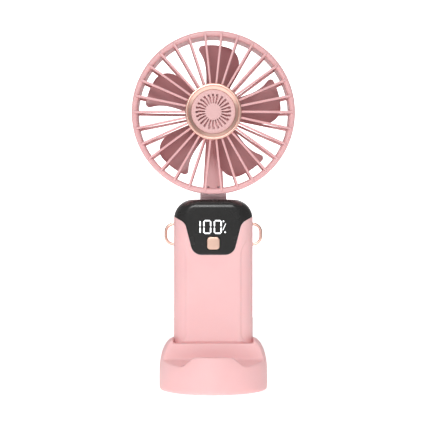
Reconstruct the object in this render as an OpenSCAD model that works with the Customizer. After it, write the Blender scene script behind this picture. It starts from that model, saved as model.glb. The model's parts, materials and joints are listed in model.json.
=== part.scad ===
// Handheld electric fan with a tilting head, standing in its weighted round stand.
// The origin is the middle of the stand's underside, +Z is up and the grille faces -Y.

/* [Stand] */
// Outer diameter of the stand
stand_d = 61; // [60.5:0.5:63]
// Height of the stand, with its feet
stand_h = 29.4; // [29:0.2:30]
// Width of the slot that holds a phone, from the back rest to the lip
phone_slot_w = 14.4; // [13:0.2:15]

/* [Handle] */
// Width of the handle
handle_w = 44.8; // [44:0.2:45]
// Depth of the handle without its raised front panel
handle_d = 22.4; // [22:0.2:22.6]
// Height of the handle's top above the table
handle_top = 107.9; // [107:0.1:109]
// Side of the square push button
button_w = 7.2; // [6.6:0.2:7.6]

/* [Head] */
// Outer diameter of the grille's rim
head_d = 92; // [90:1:94]
// Number of ribs in each grille
rib_count = 30; // [24:1:32]
// Number of fan blades
blade_count = 5; // [3:1:6]
// Number of slots in the hub's cap
slot_count = 24; // [12:1:28]

/* [Hidden] */
$fn = 96;
arc_steps = 6;
see = 0.01; // how far a cut runs past the face it opens

// Stand
stand_r = stand_d / 2;
foot_h = 1.4;
foot_r = 4;
foot_ring_r = 21;
shell_z = 0.5; // bottom of the stand's shell
shoulder_z = 11.5; // where the wall turns into the domed shoulder
shoulder_in = 8.5; // how far the shoulder comes in
rest_y = -10.5; // foot of the phone's back rest
rest_lean = 0.12; // how far the rest leans back for each unit of height
slot_z = 18; // floor of the phone slot at the back rest
slot_drop = 2.5; // how much lower the floor is at the lip
lip_y = rest_y - phone_slot_w;
lip_z = 21.1;
front_wall_z = 27; // top of the socket's front wall
stand_wall = 2;
socket_gap = 0.15;
socket_z = 14.3; // the handle stands on the socket's floor
cavity_r = 28.3;
plate_z = 1;
plate_h = 1.6;
stand_boss_r = 26;

// Handle
handle_y = 3.6; // middle of the handle's depth, and its parting plane
front_y = handle_y - handle_d / 2;
back_y = handle_y + handle_d / 2;
panel_t = 0.7; // how far the front panel stands proud
panel_z = 27.8; // lower edge of the front panel
face_y = front_y - panel_t;
handle_wall = 1.8;
handle_bottom = socket_z;
side_r = 9;
top_corner_r = 11;
top_front_r = 5;
hinge_r = 8.4; // round of the handle's rear top edge, about the hinge
hinge_y = back_y - hinge_r;
hinge_z = handle_top - hinge_r;
barrel_r = 6.2;
barrel_w = 15;
cradle_gap = 0.4;
neck_slot_w = 16.2;
ear_w = 2;
pin_r = 1.5;
run_gap = 0.05; // radial clearance of a running fit
join_gap = 0.02; // between mouldings that are modelled in several pieces
split_gap = 0.05; // half of the seam between two shells
inner_x = handle_w / 2 - handle_wall - split_gap - 0.04;
screw_x = 17;
screw_z = [24, 72];
screw_seat_y = back_y - 3.6; // floor of the recesses for the shell screws
charge_z = 74;

// Display cover, button and digits
cover_z = 76.8;
digit_h = 7.9;
digit_w = 4.6;
digit_z = 88.4;
stroke = 0.95;
digit_t = 0.4;
button_z = 83.2;
button_out = 0.8;
button_gap = 0.25;

// Lanyard rings
ring_wire_r = 0.9;
ring_bar_x = 19.6;
ring_out_x = 27;
ring_low_z = 82.4;
ring_high_z = 93.9;
ring_bend_r = 4.4;

// Head, in its own frame: w runs to the front, and w = 0 is the parting plane
head_r = head_d / 2;
head_y = 3;
head_z = handle_top + 2.9 + head_r;
rim_t = 3.4;
rim_front = 11;
rim_back = -9;
rib_w = 1.2;
rib_t = 2.6;
hub_r = 15.75;
hub_front = 17;
cap_r = 12.4;
cup_r = 15;
cup_back = -17;
cup_wall = 1.8;
spine_top_w = 8.5;
spine_low_w = 12;
neck_d = 12;

// Rotor
blade_r = 38.6;
blade_root_r = 13.9;
blade_t = 1.4;
blade_pitch = 27;
blade_phase = 84;
rotor_hub_r = 14.2;
shaft_r = 1;
bearing_r = 2.6;
tube_r = 3.5;

function unit(v) = v / norm(v);

// Points of the arc of radius r that rounds the corner at b of the path a, b, c
function corner_arc(a, b, c, r) =
    r <= 0 ? [b] :
    let (
        u = unit(a - b),
        v = unit(c - b),
        half = acos(u * v) / 2,
        mid = b + unit(u + v) * r / sin(half),
        p = b + u * r / tan(half) - mid,
        q = b + v * r / tan(half) - mid,
        start = atan2(p.y, p.x),
        turn = atan2(q.y, q.x) - start,
        sweep = turn > 180 ? turn - 360 : turn < -180 ? turn + 360 : turn
    )
    [for (i = [0 : arc_steps]) mid + r * [cos(start + sweep * i / arc_steps), sin(start + sweep * i / arc_steps)]];

// Closed outline through rows of [x, y, corner radius]
function rounded(rows) =
    let (
        n = len(rows),
        p = [for (row = rows) [row.x, row.y]]
    )
    [for (i = [0 : n - 1]) each corner_arc(p[(i + n - 1) % n], p[i], p[(i + 1) % n], rows[i].z)];

// The same rows mirrored about x = 0, which closes a symmetrical outline
function both_sides(rows) =
    let (n = len(rows))
    concat(rows, [for (i = [n - 1 : -1 : 0]) [-rows[i].x, rows[i].y, rows[i].z]]);

function box_rows(x0, y0, x1, y1, r) = [[x0, y0, r], [x1, y0, r], [x1, y1, r], [x0, y1, r]];

// Extrudes an outline drawn in X and Z along Y
module along_y(y0, y1) {
    translate([0, y1, 0])
        rotate([90, 0, 0])
            linear_extrude(y1 - y0)
                children();
}

// Extrudes an outline drawn in Y and Z along X
module along_x(x0, x1) {
    translate([x0, 0, 0])
        rotate([90, 0, 90])
            linear_extrude(x1 - x0)
                children();
}

module block(x0, y0, z0, x1, y1, z1) {
    translate([x0, y0, z0])
        cube([x1 - x0, y1 - y0, z1 - z0]);
}

module rod_x(r, x0, x1, y, z) {
    translate([x0, y, z])
        rotate([0, 90, 0])
            cylinder(r = r, h = x1 - x0);
}

module rod_y(r, y0, y1, x, z) {
    translate([x, y1, z])
        rotate([90, 0, 0])
            cylinder(r = r, h = y1 - y0);
}

module ring(r_in, r_out, z0, z1) {
    translate([0, 0, z0])
        difference() {
            cylinder(r = r_out, h = z1 - z0);
            translate([0, 0, -see])
                cylinder(r = r_in, h = z1 - z0 + 2 * see);
        }
}

module around(count, r, phase = 0) {
    for (i = [0 : count - 1])
        rotate([0, 0, phase + i * 360 / count])
            translate([r, 0, 0])
                children();
}

// ---------------------------------------------------------------- stand

// Outline of the domed stand, drawn in by an inset
function dome(inset) =
    let (steps = 12)
    concat(
        [[0, shell_z + inset], [stand_r - inset - 1.2, shell_z + inset], [stand_r - inset, shell_z + inset + 1.2]],
        [for (i = [0 : steps])
            let (
                z = shoulder_z + (stand_h - inset - shoulder_z) * sin(90 * i / steps),
                part = (z - shoulder_z) / (30 - shoulder_z)
            )
            [stand_r - inset - shoulder_in * (1 - sqrt(1 - part * part)), z]],
        [[0, stand_h - inset]]
    );

module stand_solid(inset) {
    rotate_extrude()
        polygon(dome(inset));
}

// What is cut away for the phone slot: the room between the back rest and the lip
module slot_room(grow) {
    along_x(-stand_r - 1, stand_r + 1)
        polygon(rounded([
            [rest_y + grow - rest_lean * (40 - slot_z), 40, 0],
            [lip_y - grow, 40, 0],
            [lip_y - grow, slot_z - slot_drop - grow, 0.8],
            [rest_y + grow, slot_z - grow, 0.8],
            [rest_y + grow + rest_lean * (40 - slot_z), 40, 0],
        ]));
}

// Everything in front of the slot that stands above the lip's outline
module above_lip() {
    along_y(-stand_r - 1, lip_y + see)
        polygon(rounded([
            [-40, 40, 0],
            [-40, -3.5, 0],
            [-10.5, lip_z, 4],
            [10.5, lip_z, 4],
            [40, -3.5, 0],
            [40, 40, 0],
        ]));
}

// The socket's front wall is lower than its sides
module low_front() {
    block(-handle_w / 2 - socket_gap, -20, front_wall_z, handle_w / 2 + socket_gap, -2, 40);
}

module stand_shell() {
    color([0.98, 0.78, 0.77])
        difference() {
            stand_solid(0);
            slot_room(0);
            above_lip();
            low_front();
            // socket for the handle
            translate([0, 0, socket_z])
                linear_extrude(40)
                    polygon(handle_section(-socket_gap));
            // hollow between the outer wall and the socket's own wall
            difference() {
                intersection() {
                    stand_solid(stand_wall);
                    block(-40, lip_y + 5, 0, 40, 40, stand_h - 4);
                }
                translate([0, 0, socket_z - stand_wall])
                    linear_extrude(40)
                        polygon(handle_section(-socket_gap - 1.4));
                slot_room(stand_wall);
                around(3, stand_boss_r, 90)
                    cylinder(r = 2.4, h = 12);
                block(-40, -40, slot_z - slot_drop - stand_wall - 1, 40, rest_y + stand_wall + 1.6, 40);
            }
            // recess for the bottom cover and the weight
            translate([0, 0, -see])
                cylinder(r = cavity_r, h = plate_z + plate_h + see);
            intersection() {
                stand_solid(stand_wall);
                difference() {
                    cylinder(r = cavity_r, h = socket_z - stand_wall);
                    around(3, stand_boss_r, 90)
                        cylinder(r = 2.4, h = 12);
                }
            }
            // pilot holes of the screws
            around(3, stand_boss_r, 90)
                translate([0, 0, plate_z])
                    cylinder(r = 0.95, h = 8);
        }
}

module stand_bottom_cover() {
    color([0.93, 0.72, 0.72])
        difference() {
            translate([0, 0, plate_z])
                cylinder(r = cavity_r - 0.1, h = plate_h - 0.05);
            around(4, foot_ring_r, 45)
                translate([0, 0, plate_z - see])
                    cylinder(r = foot_r + 0.1, h = foot_h - plate_z);
            around(3, stand_boss_r, 90) {
                cylinder(r = 1.1, h = 8);
                cylinder(r = 1.9, h = plate_z + 0.8);
            }
        }
}

module stand_weight() {
    color([0.6, 0.6, 0.62])
        translate([0, 0, plate_z + plate_h])
            difference() {
                cylinder(r = 23, h = 5);
                translate([0, 0, -see])
                    cylinder(r = 3, h = 6);
            }
}

module stand_feet() {
    color([0.85, 0.62, 0.63])
        around(4, foot_ring_r, 45)
            cylinder(r = foot_r, h = foot_h - see * 2);
}

module stand_screws() {
    color([0.7, 0.7, 0.72])
        around(3, stand_boss_r, 90) {
            translate([0, 0, plate_z])
                cylinder(r = 1.8, h = 0.75);
            translate([0, 0, plate_z + 0.5])
                cylinder(r = 0.9, h = 6.5);
        }
}

// ---------------------------------------------------------------- handle

// Plan of the handle, drawn in by an inset
function handle_section(inset) =
    rounded(box_rows(
        -handle_w / 2 + inset, front_y + inset,
        handle_w / 2 - inset, back_y - inset, side_r - inset));

// Plan of the handle where the front panel stands proud
function panel_section() =
    rounded([
        [-handle_w / 2, face_y, side_r - 1],
        [handle_w / 2, face_y, side_r - 1],
        [handle_w / 2, back_y, side_r],
        [-handle_w / 2, back_y, side_r],
    ]);

// Front view of the part that stands proud: a long panel that widens into the whole top
function panel_rows() = [
    [0, panel_z, 0],
    [17.9, panel_z, 1.5],
    [15.5, panel_z + 4.8, 6],
    [15.5, 79, 8],
    [24, 91, 0],
    [24, 120, 0],
];

// Bounds the handle in the front and side views, and so rounds its top edges
module handle_bounds(inset) {
    along_y(-20, 40)
        polygon(rounded(both_sides([
            [0, handle_bottom + inset, 0],
            [handle_w / 2 - inset, handle_bottom + inset, 1],
            [handle_w / 2 - inset, handle_top - inset, top_corner_r - inset],
            [0, handle_top - inset, 0],
        ])));
}

module handle_profile(inset) {
    along_x(-30, 30)
        polygon(rounded([
            [face_y - 0.01 + inset, handle_bottom + inset, 0.8],
            [back_y - inset, handle_bottom + inset, 0.8],
            [back_y - inset, handle_top - inset, hinge_r - inset],
            [face_y - 0.01 + inset, handle_top - inset, top_front_r - inset],
        ]));
}

module handle_solid() {
    intersection() {
        linear_extrude(handle_top)
            polygon(panel_section());
        handle_bounds(0);
        handle_profile(0);
        union() {
            linear_extrude(handle_top)
                polygon(handle_section(0));
            along_y(-20, handle_y)
                polygon(rounded(both_sides(panel_rows())));
        }
    }
}

module handle_hollow() {
    intersection() {
        linear_extrude(handle_top)
            polygon(handle_section(handle_wall));
        handle_bounds(handle_wall);
        handle_profile(handle_wall);
    }
}

// Front view of the display cover, grown by the seam
function cover_rows(grow) = [
    [0, cover_z - grow, 0],
    [11.3 + grow, cover_z - grow, 6],
    [15.9 + grow, 94.6 - grow, 6],
    [24, 99.2 - grow, 0],
    [24, 120, 0],
];

module cover_region(grow) {
    along_y(-20, handle_y + grow)
        polygon(rounded(both_sides(cover_rows(grow))));
}

// Room for the neck: open at the top and at the back, round about the hinge
module neck_room(grow) {
    x = neck_slot_w / 2 + grow;
    r = barrel_r + cradle_gap + grow;
    rod_x(r, -x, x, hinge_y, hinge_z);
    block(-x, hinge_y - r, hinge_z, x, 40, 120);
    block(-x, hinge_y, hinge_z - r, x, 40, 120);
}

module shell_bosses(y0, y1, r) {
    for (x = [-screw_x, screw_x], z = screw_z)
        rod_y(r, y0, y1, x, z);
}

// Slots in the handle's sides through which the rings swing
module ring_slots() {
    for (side = [-1, 1], z = [ring_low_z, ring_high_z])
        block(side * 21 - 2.6, handle_y - 2.7, z - 1.15, side * 21 + 2.6, handle_y + 2.7, z + 1.15);
}

// Blocks inside the side walls that hold the rings' bars
module ring_blocks(y0, y1) {
    x0 = ring_bar_x - 1.6;
    for (side = [-1, 1])
        difference() {
            block(min(side * x0, side * inner_x), y0, 85.4, max(side * x0, side * inner_x), y1, 90.9);
            translate([side * ring_bar_x, handle_y, 80])
                cylinder(r = ring_wire_r + run_gap, h = 20);
        }
}

module front_shell() {
    color([0.99, 0.79, 0.78])
        difference() {
            union() {
                difference() {
                    handle_solid();
                    handle_hollow();
                }
                intersection() {
                    handle_hollow();
                    shell_bosses(-20, handle_y, 2.6);
                }
            }
            block(-40, handle_y, 0, 40, 40, 120);
            cover_region(split_gap);
            shell_bosses(handle_y - 7, handle_y + see, 0.85);
            ring_slots();
        }
}

module rear_shell() {
    color([0.99, 0.79, 0.78])
        difference() {
            union() {
                difference() {
                    handle_solid();
                    handle_hollow();
                }
                intersection() {
                    handle_hollow();
                    union() {
                        shell_bosses(handle_y, 40, 2.6);
                        // ears and curved floor of the hinge
                        difference() {
                            neck_room(ear_w);
                            block(-40, -40, 0, 40, hinge_y - barrel_r - cradle_gap - 1.2, 120);
                        }
                        ring_blocks(handle_y - 2.4, handle_y + 3);
                        // ties from the blocks to the side walls
                        for (x = [-inner_x, inner_x])
                            block(x - 0.4, handle_y + 1.2, 86, x + 0.4, handle_y + 2.8, 90.3);
                    }
                }
            }
            difference() {
                block(-40, -40, 0, 40, handle_y + 2 * split_gap, 120);
                difference() {
                    neck_room(ear_w + see);
                    block(-40, -40, 0, 40, hinge_y - barrel_r - cradle_gap - 1.2, 120);
                    cover_band();
                }
                ring_blocks(handle_y - 2.4, handle_y + 3);
            }
            neck_room(0);
            rod_x(pin_r, -12, 12, hinge_y, hinge_z);
            ring_slots();
            shell_bosses(handle_y - see, 40, 1.05);
            shell_bosses(screw_seat_y, 40, 2);
            // mouth of the charging port
            along_y(back_y - 3, back_y + 1)
                polygon(rounded(box_rows(-4.9, charge_z - 1.9, 4.9, charge_z + 1.9, 1.85)));
        }
}

// The skin of the display cover, which the rear shell's ears stay behind
module cover_band() {
    difference() {
        block(-40, -40, 0, 40, handle_y + 2 * split_gap, 120);
        handle_hollow();
    }
}

// One bar of a digit: a slim hexagon from a to b, shortened at both ends
module bar(a, b) {
    d = unit(b - a);
    n = [-d.y, d.x] * stroke / 2;
    p = a + d * 0.12;
    q = b - d * 0.12;
    tip = d * stroke / 2;
    polygon([p, p + tip + n, q - tip + n, q, q - tip - n, p + tip - n]);
}

// Bars of a seven-part digit whose lower left corner is at x
module digit(x, on) {
    w = digit_w - stroke;
    h = (digit_h - stroke) / 2;
    corner = [x + stroke / 2, digit_z + stroke / 2];
    ends = [
        [[0, 2 * h], [w, 2 * h]],
        [[w, h], [w, 2 * h]],
        [[w, 0], [w, h]],
        [[0, 0], [w, 0]],
        [[0, 0], [0, h]],
        [[0, h], [0, 2 * h]],
        [[0, h], [w, h]],
    ];
    for (i = on)
        bar(corner + ends[i][0], corner + ends[i][1]);
}

module lit_digits() {
    digit(-8.2 - digit_w + 1.2, [1, 2]);
    for (x = [-5.7, 0.2])
        digit(x, [0, 1, 2, 3, 4, 5]);
    // percent mark
    for (p = [[5.7, 95.5], [6.6, 89.4]])
        translate(p)
            circle(r = 0.5);
    translate([6.15, 92.4])
        rotate(66)
            square([4.2, 0.45], center = true);
}

module display_cover() {
    color([0.12, 0.12, 0.12])
        difference() {
            intersection() {
                handle_solid();
                cover_region(0);
            }
            difference() {
                handle_hollow();
                board_screw_rods(-20, board_y - board_t, 1.9);
            }
            board_screw_rods(board_y - 3.6, 0, 0.82);
            neck_room(0);
            along_y(-20, face_y + digit_t)
                lit_digits();
            along_y(-20, 0)
                polygon(rounded(button_rows(button_gap)));
            ring_slots();
        }
}

module display_digits() {
    color([1, 1, 1])
        along_y(face_y, face_y + digit_t)
            lit_digits();
}

module display_module() {
    color([0.9, 0.9, 0.86])
        block(-9.5, front_y + handle_wall + 0.1, 88, 9.5, board_y - 1, 97.6);
}

board_y = -1.9; // back of the main board
board_t = 1;

module main_board() {
    color([0.1, 0.35, 0.2])
        difference() {
            along_y(board_y - board_t, board_y)
                polygon(rounded(box_rows(-13.5, 75, 13.5, 102.5, 2)));
            board_screw_rods(-10, 10, 0.9);
        }
}

module board_screw_rods(y0, y1, r) {
    for (x = [-11.8, 11.8])
        rod_y(r, y0, y1, x, 92);
}

module board_screws() {
    color([0.7, 0.7, 0.72]) {
        board_screw_rods(board_y - 3.4, board_y + see, 0.8);
        board_screw_rods(board_y, board_y + 0.8, 1.6);
    }
}

module board_parts() {
    color([0.18, 0.18, 0.2]) {
        block(-8, board_y, 76, -3, board_y + 1.4, 81);
        block(1, board_y, 76, 8, board_y + 2.5, 83);
        block(-7, board_y, 84, -3, board_y + 0.9, 86.5);
    }
    color([0.75, 0.6, 0.4])
        rod_y(2.2, board_y, board_y + 4, 5, 88);
}

module button_switch() {
    color([0.75, 0.75, 0.77])
        block(-2.25, -4.2, button_z - 2.25, 2.25, board_y - board_t, button_z + 2.25);
    color([0.15, 0.15, 0.15])
        rod_y(1.2, -4.45, -4.2 + see, 0, button_z);
}

function button_rows(grow) =
    let (h = button_w / 2 + grow)
    box_rows(-h, button_z - h, h, button_z + h, 2 + grow);

module button_cap() {
    back = front_y + handle_wall + 0.1;
    color([0.98, 0.84, 0.76]) {
        along_y(face_y - button_out, back + see)
            polygon(rounded(button_rows(0)));
        along_y(back, back + 0.6)
            polygon(rounded(button_rows(0.6)));
    }
}

module battery() {
    color([0.35, 0.55, 0.75])
        translate([0, handle_y, handle_bottom + handle_wall + 0.6]) {
            cylinder(r = 9.1, h = 49);
            cylinder(r = 3.2, h = 50.2);
        }
}

module battery_tabs() {
    color([0.8, 0.8, 0.78]) {
        z = handle_bottom + handle_wall + 50.8;
        block(-2.5, handle_y - 2.5, z, 2.5, handle_y + 2.5, z + 0.2);
        block(-1.5, handle_y - 9, z, 1.5, handle_y - 2.5 + see, z + 0.2);
        block(-2.5, handle_y - 2.5, handle_bottom + handle_wall + 0.1, 2.5, handle_y + 2.5,
            handle_bottom + handle_wall + 0.6);
    }
}

module charge_board() {
    color([0.1, 0.35, 0.2])
        block(-9, -4, charge_z - 2.9, 9, back_y - handle_wall - 0.3, charge_z - 1.9);
}

module charge_port() {
    color([0.75, 0.75, 0.77])
        difference() {
            along_y(back_y - 7.6, back_y - 0.3)
                polygon(rounded(box_rows(-4.5, charge_z - 1.6, 4.5, charge_z + 1.6, 1.55)));
            along_y(back_y - 6.8, back_y)
                polygon(rounded(box_rows(-4.2, charge_z - 1.3, 4.2, charge_z + 1.3, 1.25)));
        }
    color([0.15, 0.15, 0.15])
        block(-3.3, back_y - 7, charge_z - 0.35, 3.3, back_y - 1.6, charge_z + 0.35);
    color([0.75, 0.75, 0.77])
        for (x = [-3.6, 3.6])
            block(x - 0.4, back_y - 6, charge_z - 1.9, x + 0.4, back_y - 4, charge_z - 1.5);
}

module shell_screws() {
    color([0.7, 0.7, 0.72]) {
        shell_bosses(handle_y - 6, screw_seat_y + 0.1, 0.8);
        difference() {
            shell_bosses(screw_seat_y, screw_seat_y + 1.2, 1.8);
            for (x = [-screw_x, screw_x], z = screw_z)
                for (turn = [0, 90])
                    translate([x, screw_seat_y + 1.2, z])
                        rotate([0, turn, 0])
                            cube([2.2, 1.2, 0.5], center = true);
        }
    }
}

module hinge_pin() {
    color([0.75, 0.75, 0.77])
        rod_x(pin_r, -9.6, 9.6, hinge_y, hinge_z);
}

module hinge_washers() {
    color([0.3, 0.3, 0.32])
        for (x = [-7.82, 7.82])
            difference() {
                rod_x(5, x - 0.25, x + 0.25, hinge_y, hinge_z);
                rod_x(pin_r, x - 1, x + 1, hinge_y, hinge_z);
            }
}

// ---------------------------------------------------------------- lanyard rings

module ring_bend(x, z, turn, r) {
    translate([x, handle_y, z])
        rotate([90, 0, 0])
            rotate([0, 0, turn])
                rotate_extrude(angle = 90)
                    translate([r, 0])
                        circle(r = ring_wire_r, $fn = 32);
}

module right_ring() {
    x = ring_out_x - ring_bend_r;
    low = ring_low_z + ring_bend_r;
    high = ring_high_z - ring_bend_r;
    color([0.93, 0.72, 0.58]) {
        translate([ring_bar_x, handle_y, ring_low_z])
            cylinder(r = ring_wire_r, h = ring_high_z - ring_low_z, $fn = 32);
        for (z = [ring_low_z, ring_high_z]) {
            translate([ring_bar_x, handle_y, z])
                sphere(r = ring_wire_r, $fn = 32);
            rod_x(ring_wire_r, ring_bar_x, x, handle_y, z, $fn = 32);
        }
        ring_bend(x, low, -90, ring_bend_r);
        ring_bend(x, high, 0, ring_bend_r);
        translate([ring_out_x, handle_y, low])
            cylinder(r = ring_wire_r, h = high - low, $fn = 32);
    }
}

module left_ring() {
    mirror([1, 0, 0])
        right_ring();
}

// ---------------------------------------------------------------- head

// Puts parts drawn about the fan's axis, with the front along +Z, into place
module in_head() {
    translate([0, head_y, head_z])
        rotate([90, 0, 0])
            children();
}

// Front edge of the front ribs and rear edge of the rear ribs, at radius r
function front_edge(r) = rim_front + 0.35 + 3.6 * (1 - pow((r - cap_r) / (head_r - cap_r), 2));
function rear_edge(r) = cup_back + 2.8 + 5.4 * pow((r - cup_r) / (head_r - cup_r), 2);

// Ribs as a star of fins, apart from those nearer than a clear angle to straight down
module ribs(rows, clear = 0) {
    for (i = [0 : rib_count - 1])
        if (abs(i * 360 / rib_count - 270) >= clear)
            rotate([0, 0, i * 360 / rib_count])
                rotate([90, 0, 0])
                    translate([0, 0, -rib_w / 2])
                        linear_extrude(rib_w)
                            polygon(rows);
}

function front_rib_rows() =
    let (
        steps = 6,
        from = hub_r - 2,
        to = head_r - 1.4
    )
    concat(
        [for (i = [0 : steps])
            let (r = from + (to - from) * i / steps)
            [r, front_edge(r)]],
        [for (i = [steps : -1 : 0])
            let (r = from + (to - from) * i / steps)
            [r, front_edge(r) - rib_t]]
    );

function rear_rib_rows(from, depth) =
    let (
        steps = 6,
        to = head_r - 2.2
    )
    concat(
        [for (i = [0 : steps])
            let (r = from + (to - from) * i / steps)
            [r, rear_edge(r)]],
        [for (i = [steps : -1 : 0])
            let (r = from + (to - from) * i / steps)
            [r, rear_edge(r) + depth]]
    );

// Section of the front rim, grown by a gap
function front_rim_rows(grow) = [
    [head_r - rim_t - grow, 0.1 - grow, 0.3],
    [head_r + grow, 0.1 - grow, 0.3],
    [head_r + grow, rim_front + grow, 1.6 + grow],
    [head_r - rim_t - grow, rim_front + grow, 1.6 + grow],
];

// Section of the rear rim, grown by a gap
function rear_rim_rows(grow) = [
    [head_r - rim_t - grow, -0.1 + grow, 0.3],
    [head_r - rim_t - grow, rim_back - grow, 0.7 + grow],
    [head_r - 0.6 + grow, rim_back - grow, 1.9 + grow],
    [head_r + grow, -0.1 + grow, 0.3],
];

module front_rim() {
    color([0.96, 0.76, 0.76])
        in_head()
            rotate_extrude()
                polygon(rounded(front_rim_rows(0)));
}

// Ribs between the hub seat and the rim, which they lap over
module front_ribs() {
    color([0.96, 0.76, 0.76])
        in_head()
            difference() {
                ribs(front_rib_rows());
                cylinder(r = hub_r + join_gap, h = 60, center = true);
                rotate_extrude()
                    polygon(rounded(front_rim_rows(join_gap)));
            }
}

// Plate with a wall that holds the ring and the cap
module hub_seat() {
    color([0.96, 0.76, 0.76])
        in_head()
            rotate_extrude()
                polygon([
                    [0, 10.4],
                    [hub_r, 10.4],
                    [hub_r, 13.6],
                    [cap_r + 0.1, 13.6],
                    [cap_r + 0.1, 12],
                    [0, 12],
                ]);
}

module hub_ring() {
    color([0.93, 0.76, 0.68])
        in_head()
            rotate_extrude()
                polygon(rounded([
                    [cap_r + 0.1, 13.65, 0],
                    [hub_r, 13.65, 0.3],
                    [hub_r, hub_front - 0.2, 0.7],
                    [hub_r - 1.2, hub_front, 0.3],
                    [cap_r + 0.1, hub_front - 1.4, 0],
                ]));
}

module hub_cap() {
    color([0.93, 0.75, 0.74])
        in_head() {
            difference() {
                translate([0, 0, 14])
                    cylinder(r = cap_r, h = 1.3);
                for (i = [0 : slot_count - 1])
                    rotate([0, 0, 90 + i * 360 / slot_count])
                        translate([0, 0, 13])
                            linear_extrude(4)
                                polygon([[4.6, -0.35], [9.9, -0.55], [9.9, 0.55], [4.6, 0.35]]);
            }
            around(3, cap_r - 1.2, 30)
                translate([0, 0, 12])
                    cylinder(r = 0.8, h = 2.1);
        }
}

// Plan of the spine that carries the lead from the motor cup down to the neck
module spine_plan(trim) {
    linear_extrude(60, center = true)
        polygon([
            [-spine_top_w / 2 + trim, -cup_r + 0.6],
            [-spine_low_w / 2 + trim, -head_r + 2.4],
            [spine_low_w / 2 - trim, -head_r + 2.4],
            [spine_top_w / 2 - trim, -cup_r + 0.6],
        ]);
}

module side_profile(rows) {
    rotate([90, 0, -90])
        translate([0, 0, -10])
            linear_extrude(20)
                polygon(rows);
}

module rear_rim() {
    color([0.93, 0.72, 0.72])
        in_head()
            difference() {
                rotate_extrude()
                    polygon(rounded(rear_rim_rows(0)));
                neck_screw_holes();
            }
}

module rear_ribs() {
    color([0.93, 0.72, 0.72])
        in_head()
            difference() {
                ribs(rear_rib_rows(cup_r - 1, rib_t), 8);
                cylinder(r = cup_r + join_gap, h = 60, center = true);
                spine_plan(-join_gap);
                rotate_extrude()
                    polygon(rounded(rear_rim_rows(join_gap)));
            }
}

// Cup that holds the motor, with the spine down to the rim
module motor_cup() {
    color([0.93, 0.72, 0.72])
        in_head()
            difference() {
                union() {
                    rotate_extrude()
                        polygon(rounded([
                            [0, cup_back, 0],
                            [cup_r, cup_back, 2.5],
                            [cup_r, -6, 0.4],
                            [cup_r - cup_wall, -6, 0.4],
                            [cup_r - cup_wall, cup_back + cup_wall, 1],
                            [0, cup_back + cup_wall, 0],
                        ]));
                    intersection() {
                        spine_plan(0);
                        side_profile(rear_rib_rows(cup_r - 1.5, 4.4));
                        cylinder(r = head_r - rim_t - join_gap, h = 60, center = true);
                    }
                }
                // channel for the lead, open to the front
                intersection() {
                    translate([-1.6, -head_r + 5, -30])
                        cube([3.2, head_r - 5 - cup_r + 4, 60]);
                    side_profile([for (p = rear_rib_rows(cup_r - 3, 9)) [p.x, p.y + 2]]);
                }
                // seat of the bearing tube
                translate([0, 0, cup_back + 0.8])
                    cylinder(r = tube_r + 0.02, h = 5);
                motor_screw_places()
                    cylinder(r = 0.65, h = 2, center = true);
            }
}

module motor_screw_places() {
    around(3, 6.2, 30)
        translate([0, 0, cup_back + cup_wall])
            children();
}

// Two screws that fasten the rim to the neck, seen from the middle of the rim's floor
module neck_screw_places() {
    for (x = [-4, 4])
        translate([x, -head_r + rim_t, head_y - hinge_y])
            rotate([-90, 0, 0])
                children();
}

// Clearance for the neck screws and a flat seat for their heads
module neck_screw_holes() {
    neck_screw_places() {
        translate([0, 0, -6])
            cylinder(r = 1.1, h = 7);
        translate([0, 0, 0.15])
            cylinder(r = 1.95, h = 4);
    }
}

module neck_screws() {
    color([0.7, 0.7, 0.72])
        in_head()
            neck_screw_places() {
                translate([0, 0, 0.2])
                    cylinder(r = 1.8, h = 1);
                translate([0, 0, -9])
                    cylinder(r = 0.95, h = 9.3);
            }
}

module neck_arm() {
    y0 = hinge_y - neck_d / 2;
    y1 = hinge_y + neck_d / 2;
    color([0.93, 0.72, 0.72])
        difference() {
            union() {
                rod_x(barrel_r, -barrel_w / 2, barrel_w / 2, hinge_y, hinge_z);
                translate([0, 0, hinge_z])
                    linear_extrude(14)
                        polygon(rounded(box_rows(-barrel_w / 2, y0, barrel_w / 2, y1, 1.5)));
            }
            rod_x(pin_r + run_gap, -20, 20, hinge_y, hinge_z);
            in_head() {
                cylinder(r = head_r + 0.05, h = 60, center = true);
                neck_screw_places()
                    cylinder(r = 0.97, h = 20, center = true);
            }
        }
}

module motor_board() {
    color([0.1, 0.35, 0.2])
        in_head()
            difference() {
                ring(tube_r + 0.6, cup_r - cup_wall - 0.4, -13.4, -12.4);
                around(3, 6.2, 30)
                    translate([0, 0, -20])
                        cylinder(r = 1.6, h = 20);
            }
}

module bearing_tube() {
    color([0.8, 0.68, 0.42])
        in_head() {
            ring(bearing_r + 0.02, tube_r, cup_back + 0.85, 4.6);
            difference() {
                ring(tube_r, 8, cup_back + cup_wall, cup_back + cup_wall + 0.8);
                motor_screw_places()
                    cylinder(r = 0.8, h = 4, center = true);
            }
        }
}

module motor_bearings() {
    color([0.7, 0.55, 0.35])
        in_head()
            for (w = [-14, 1])
                ring(shaft_r + run_gap, bearing_r, w, w + 3);
}

module motor_screws() {
    color([0.7, 0.7, 0.72])
        in_head()
            motor_screw_places() {
                translate([0, 0, 0.85])
                    cylinder(r = 1.2, h = 0.6);
                translate([0, 0, -0.8])
                    cylinder(r = 0.6, h = 1.7);
            }
}

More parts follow.
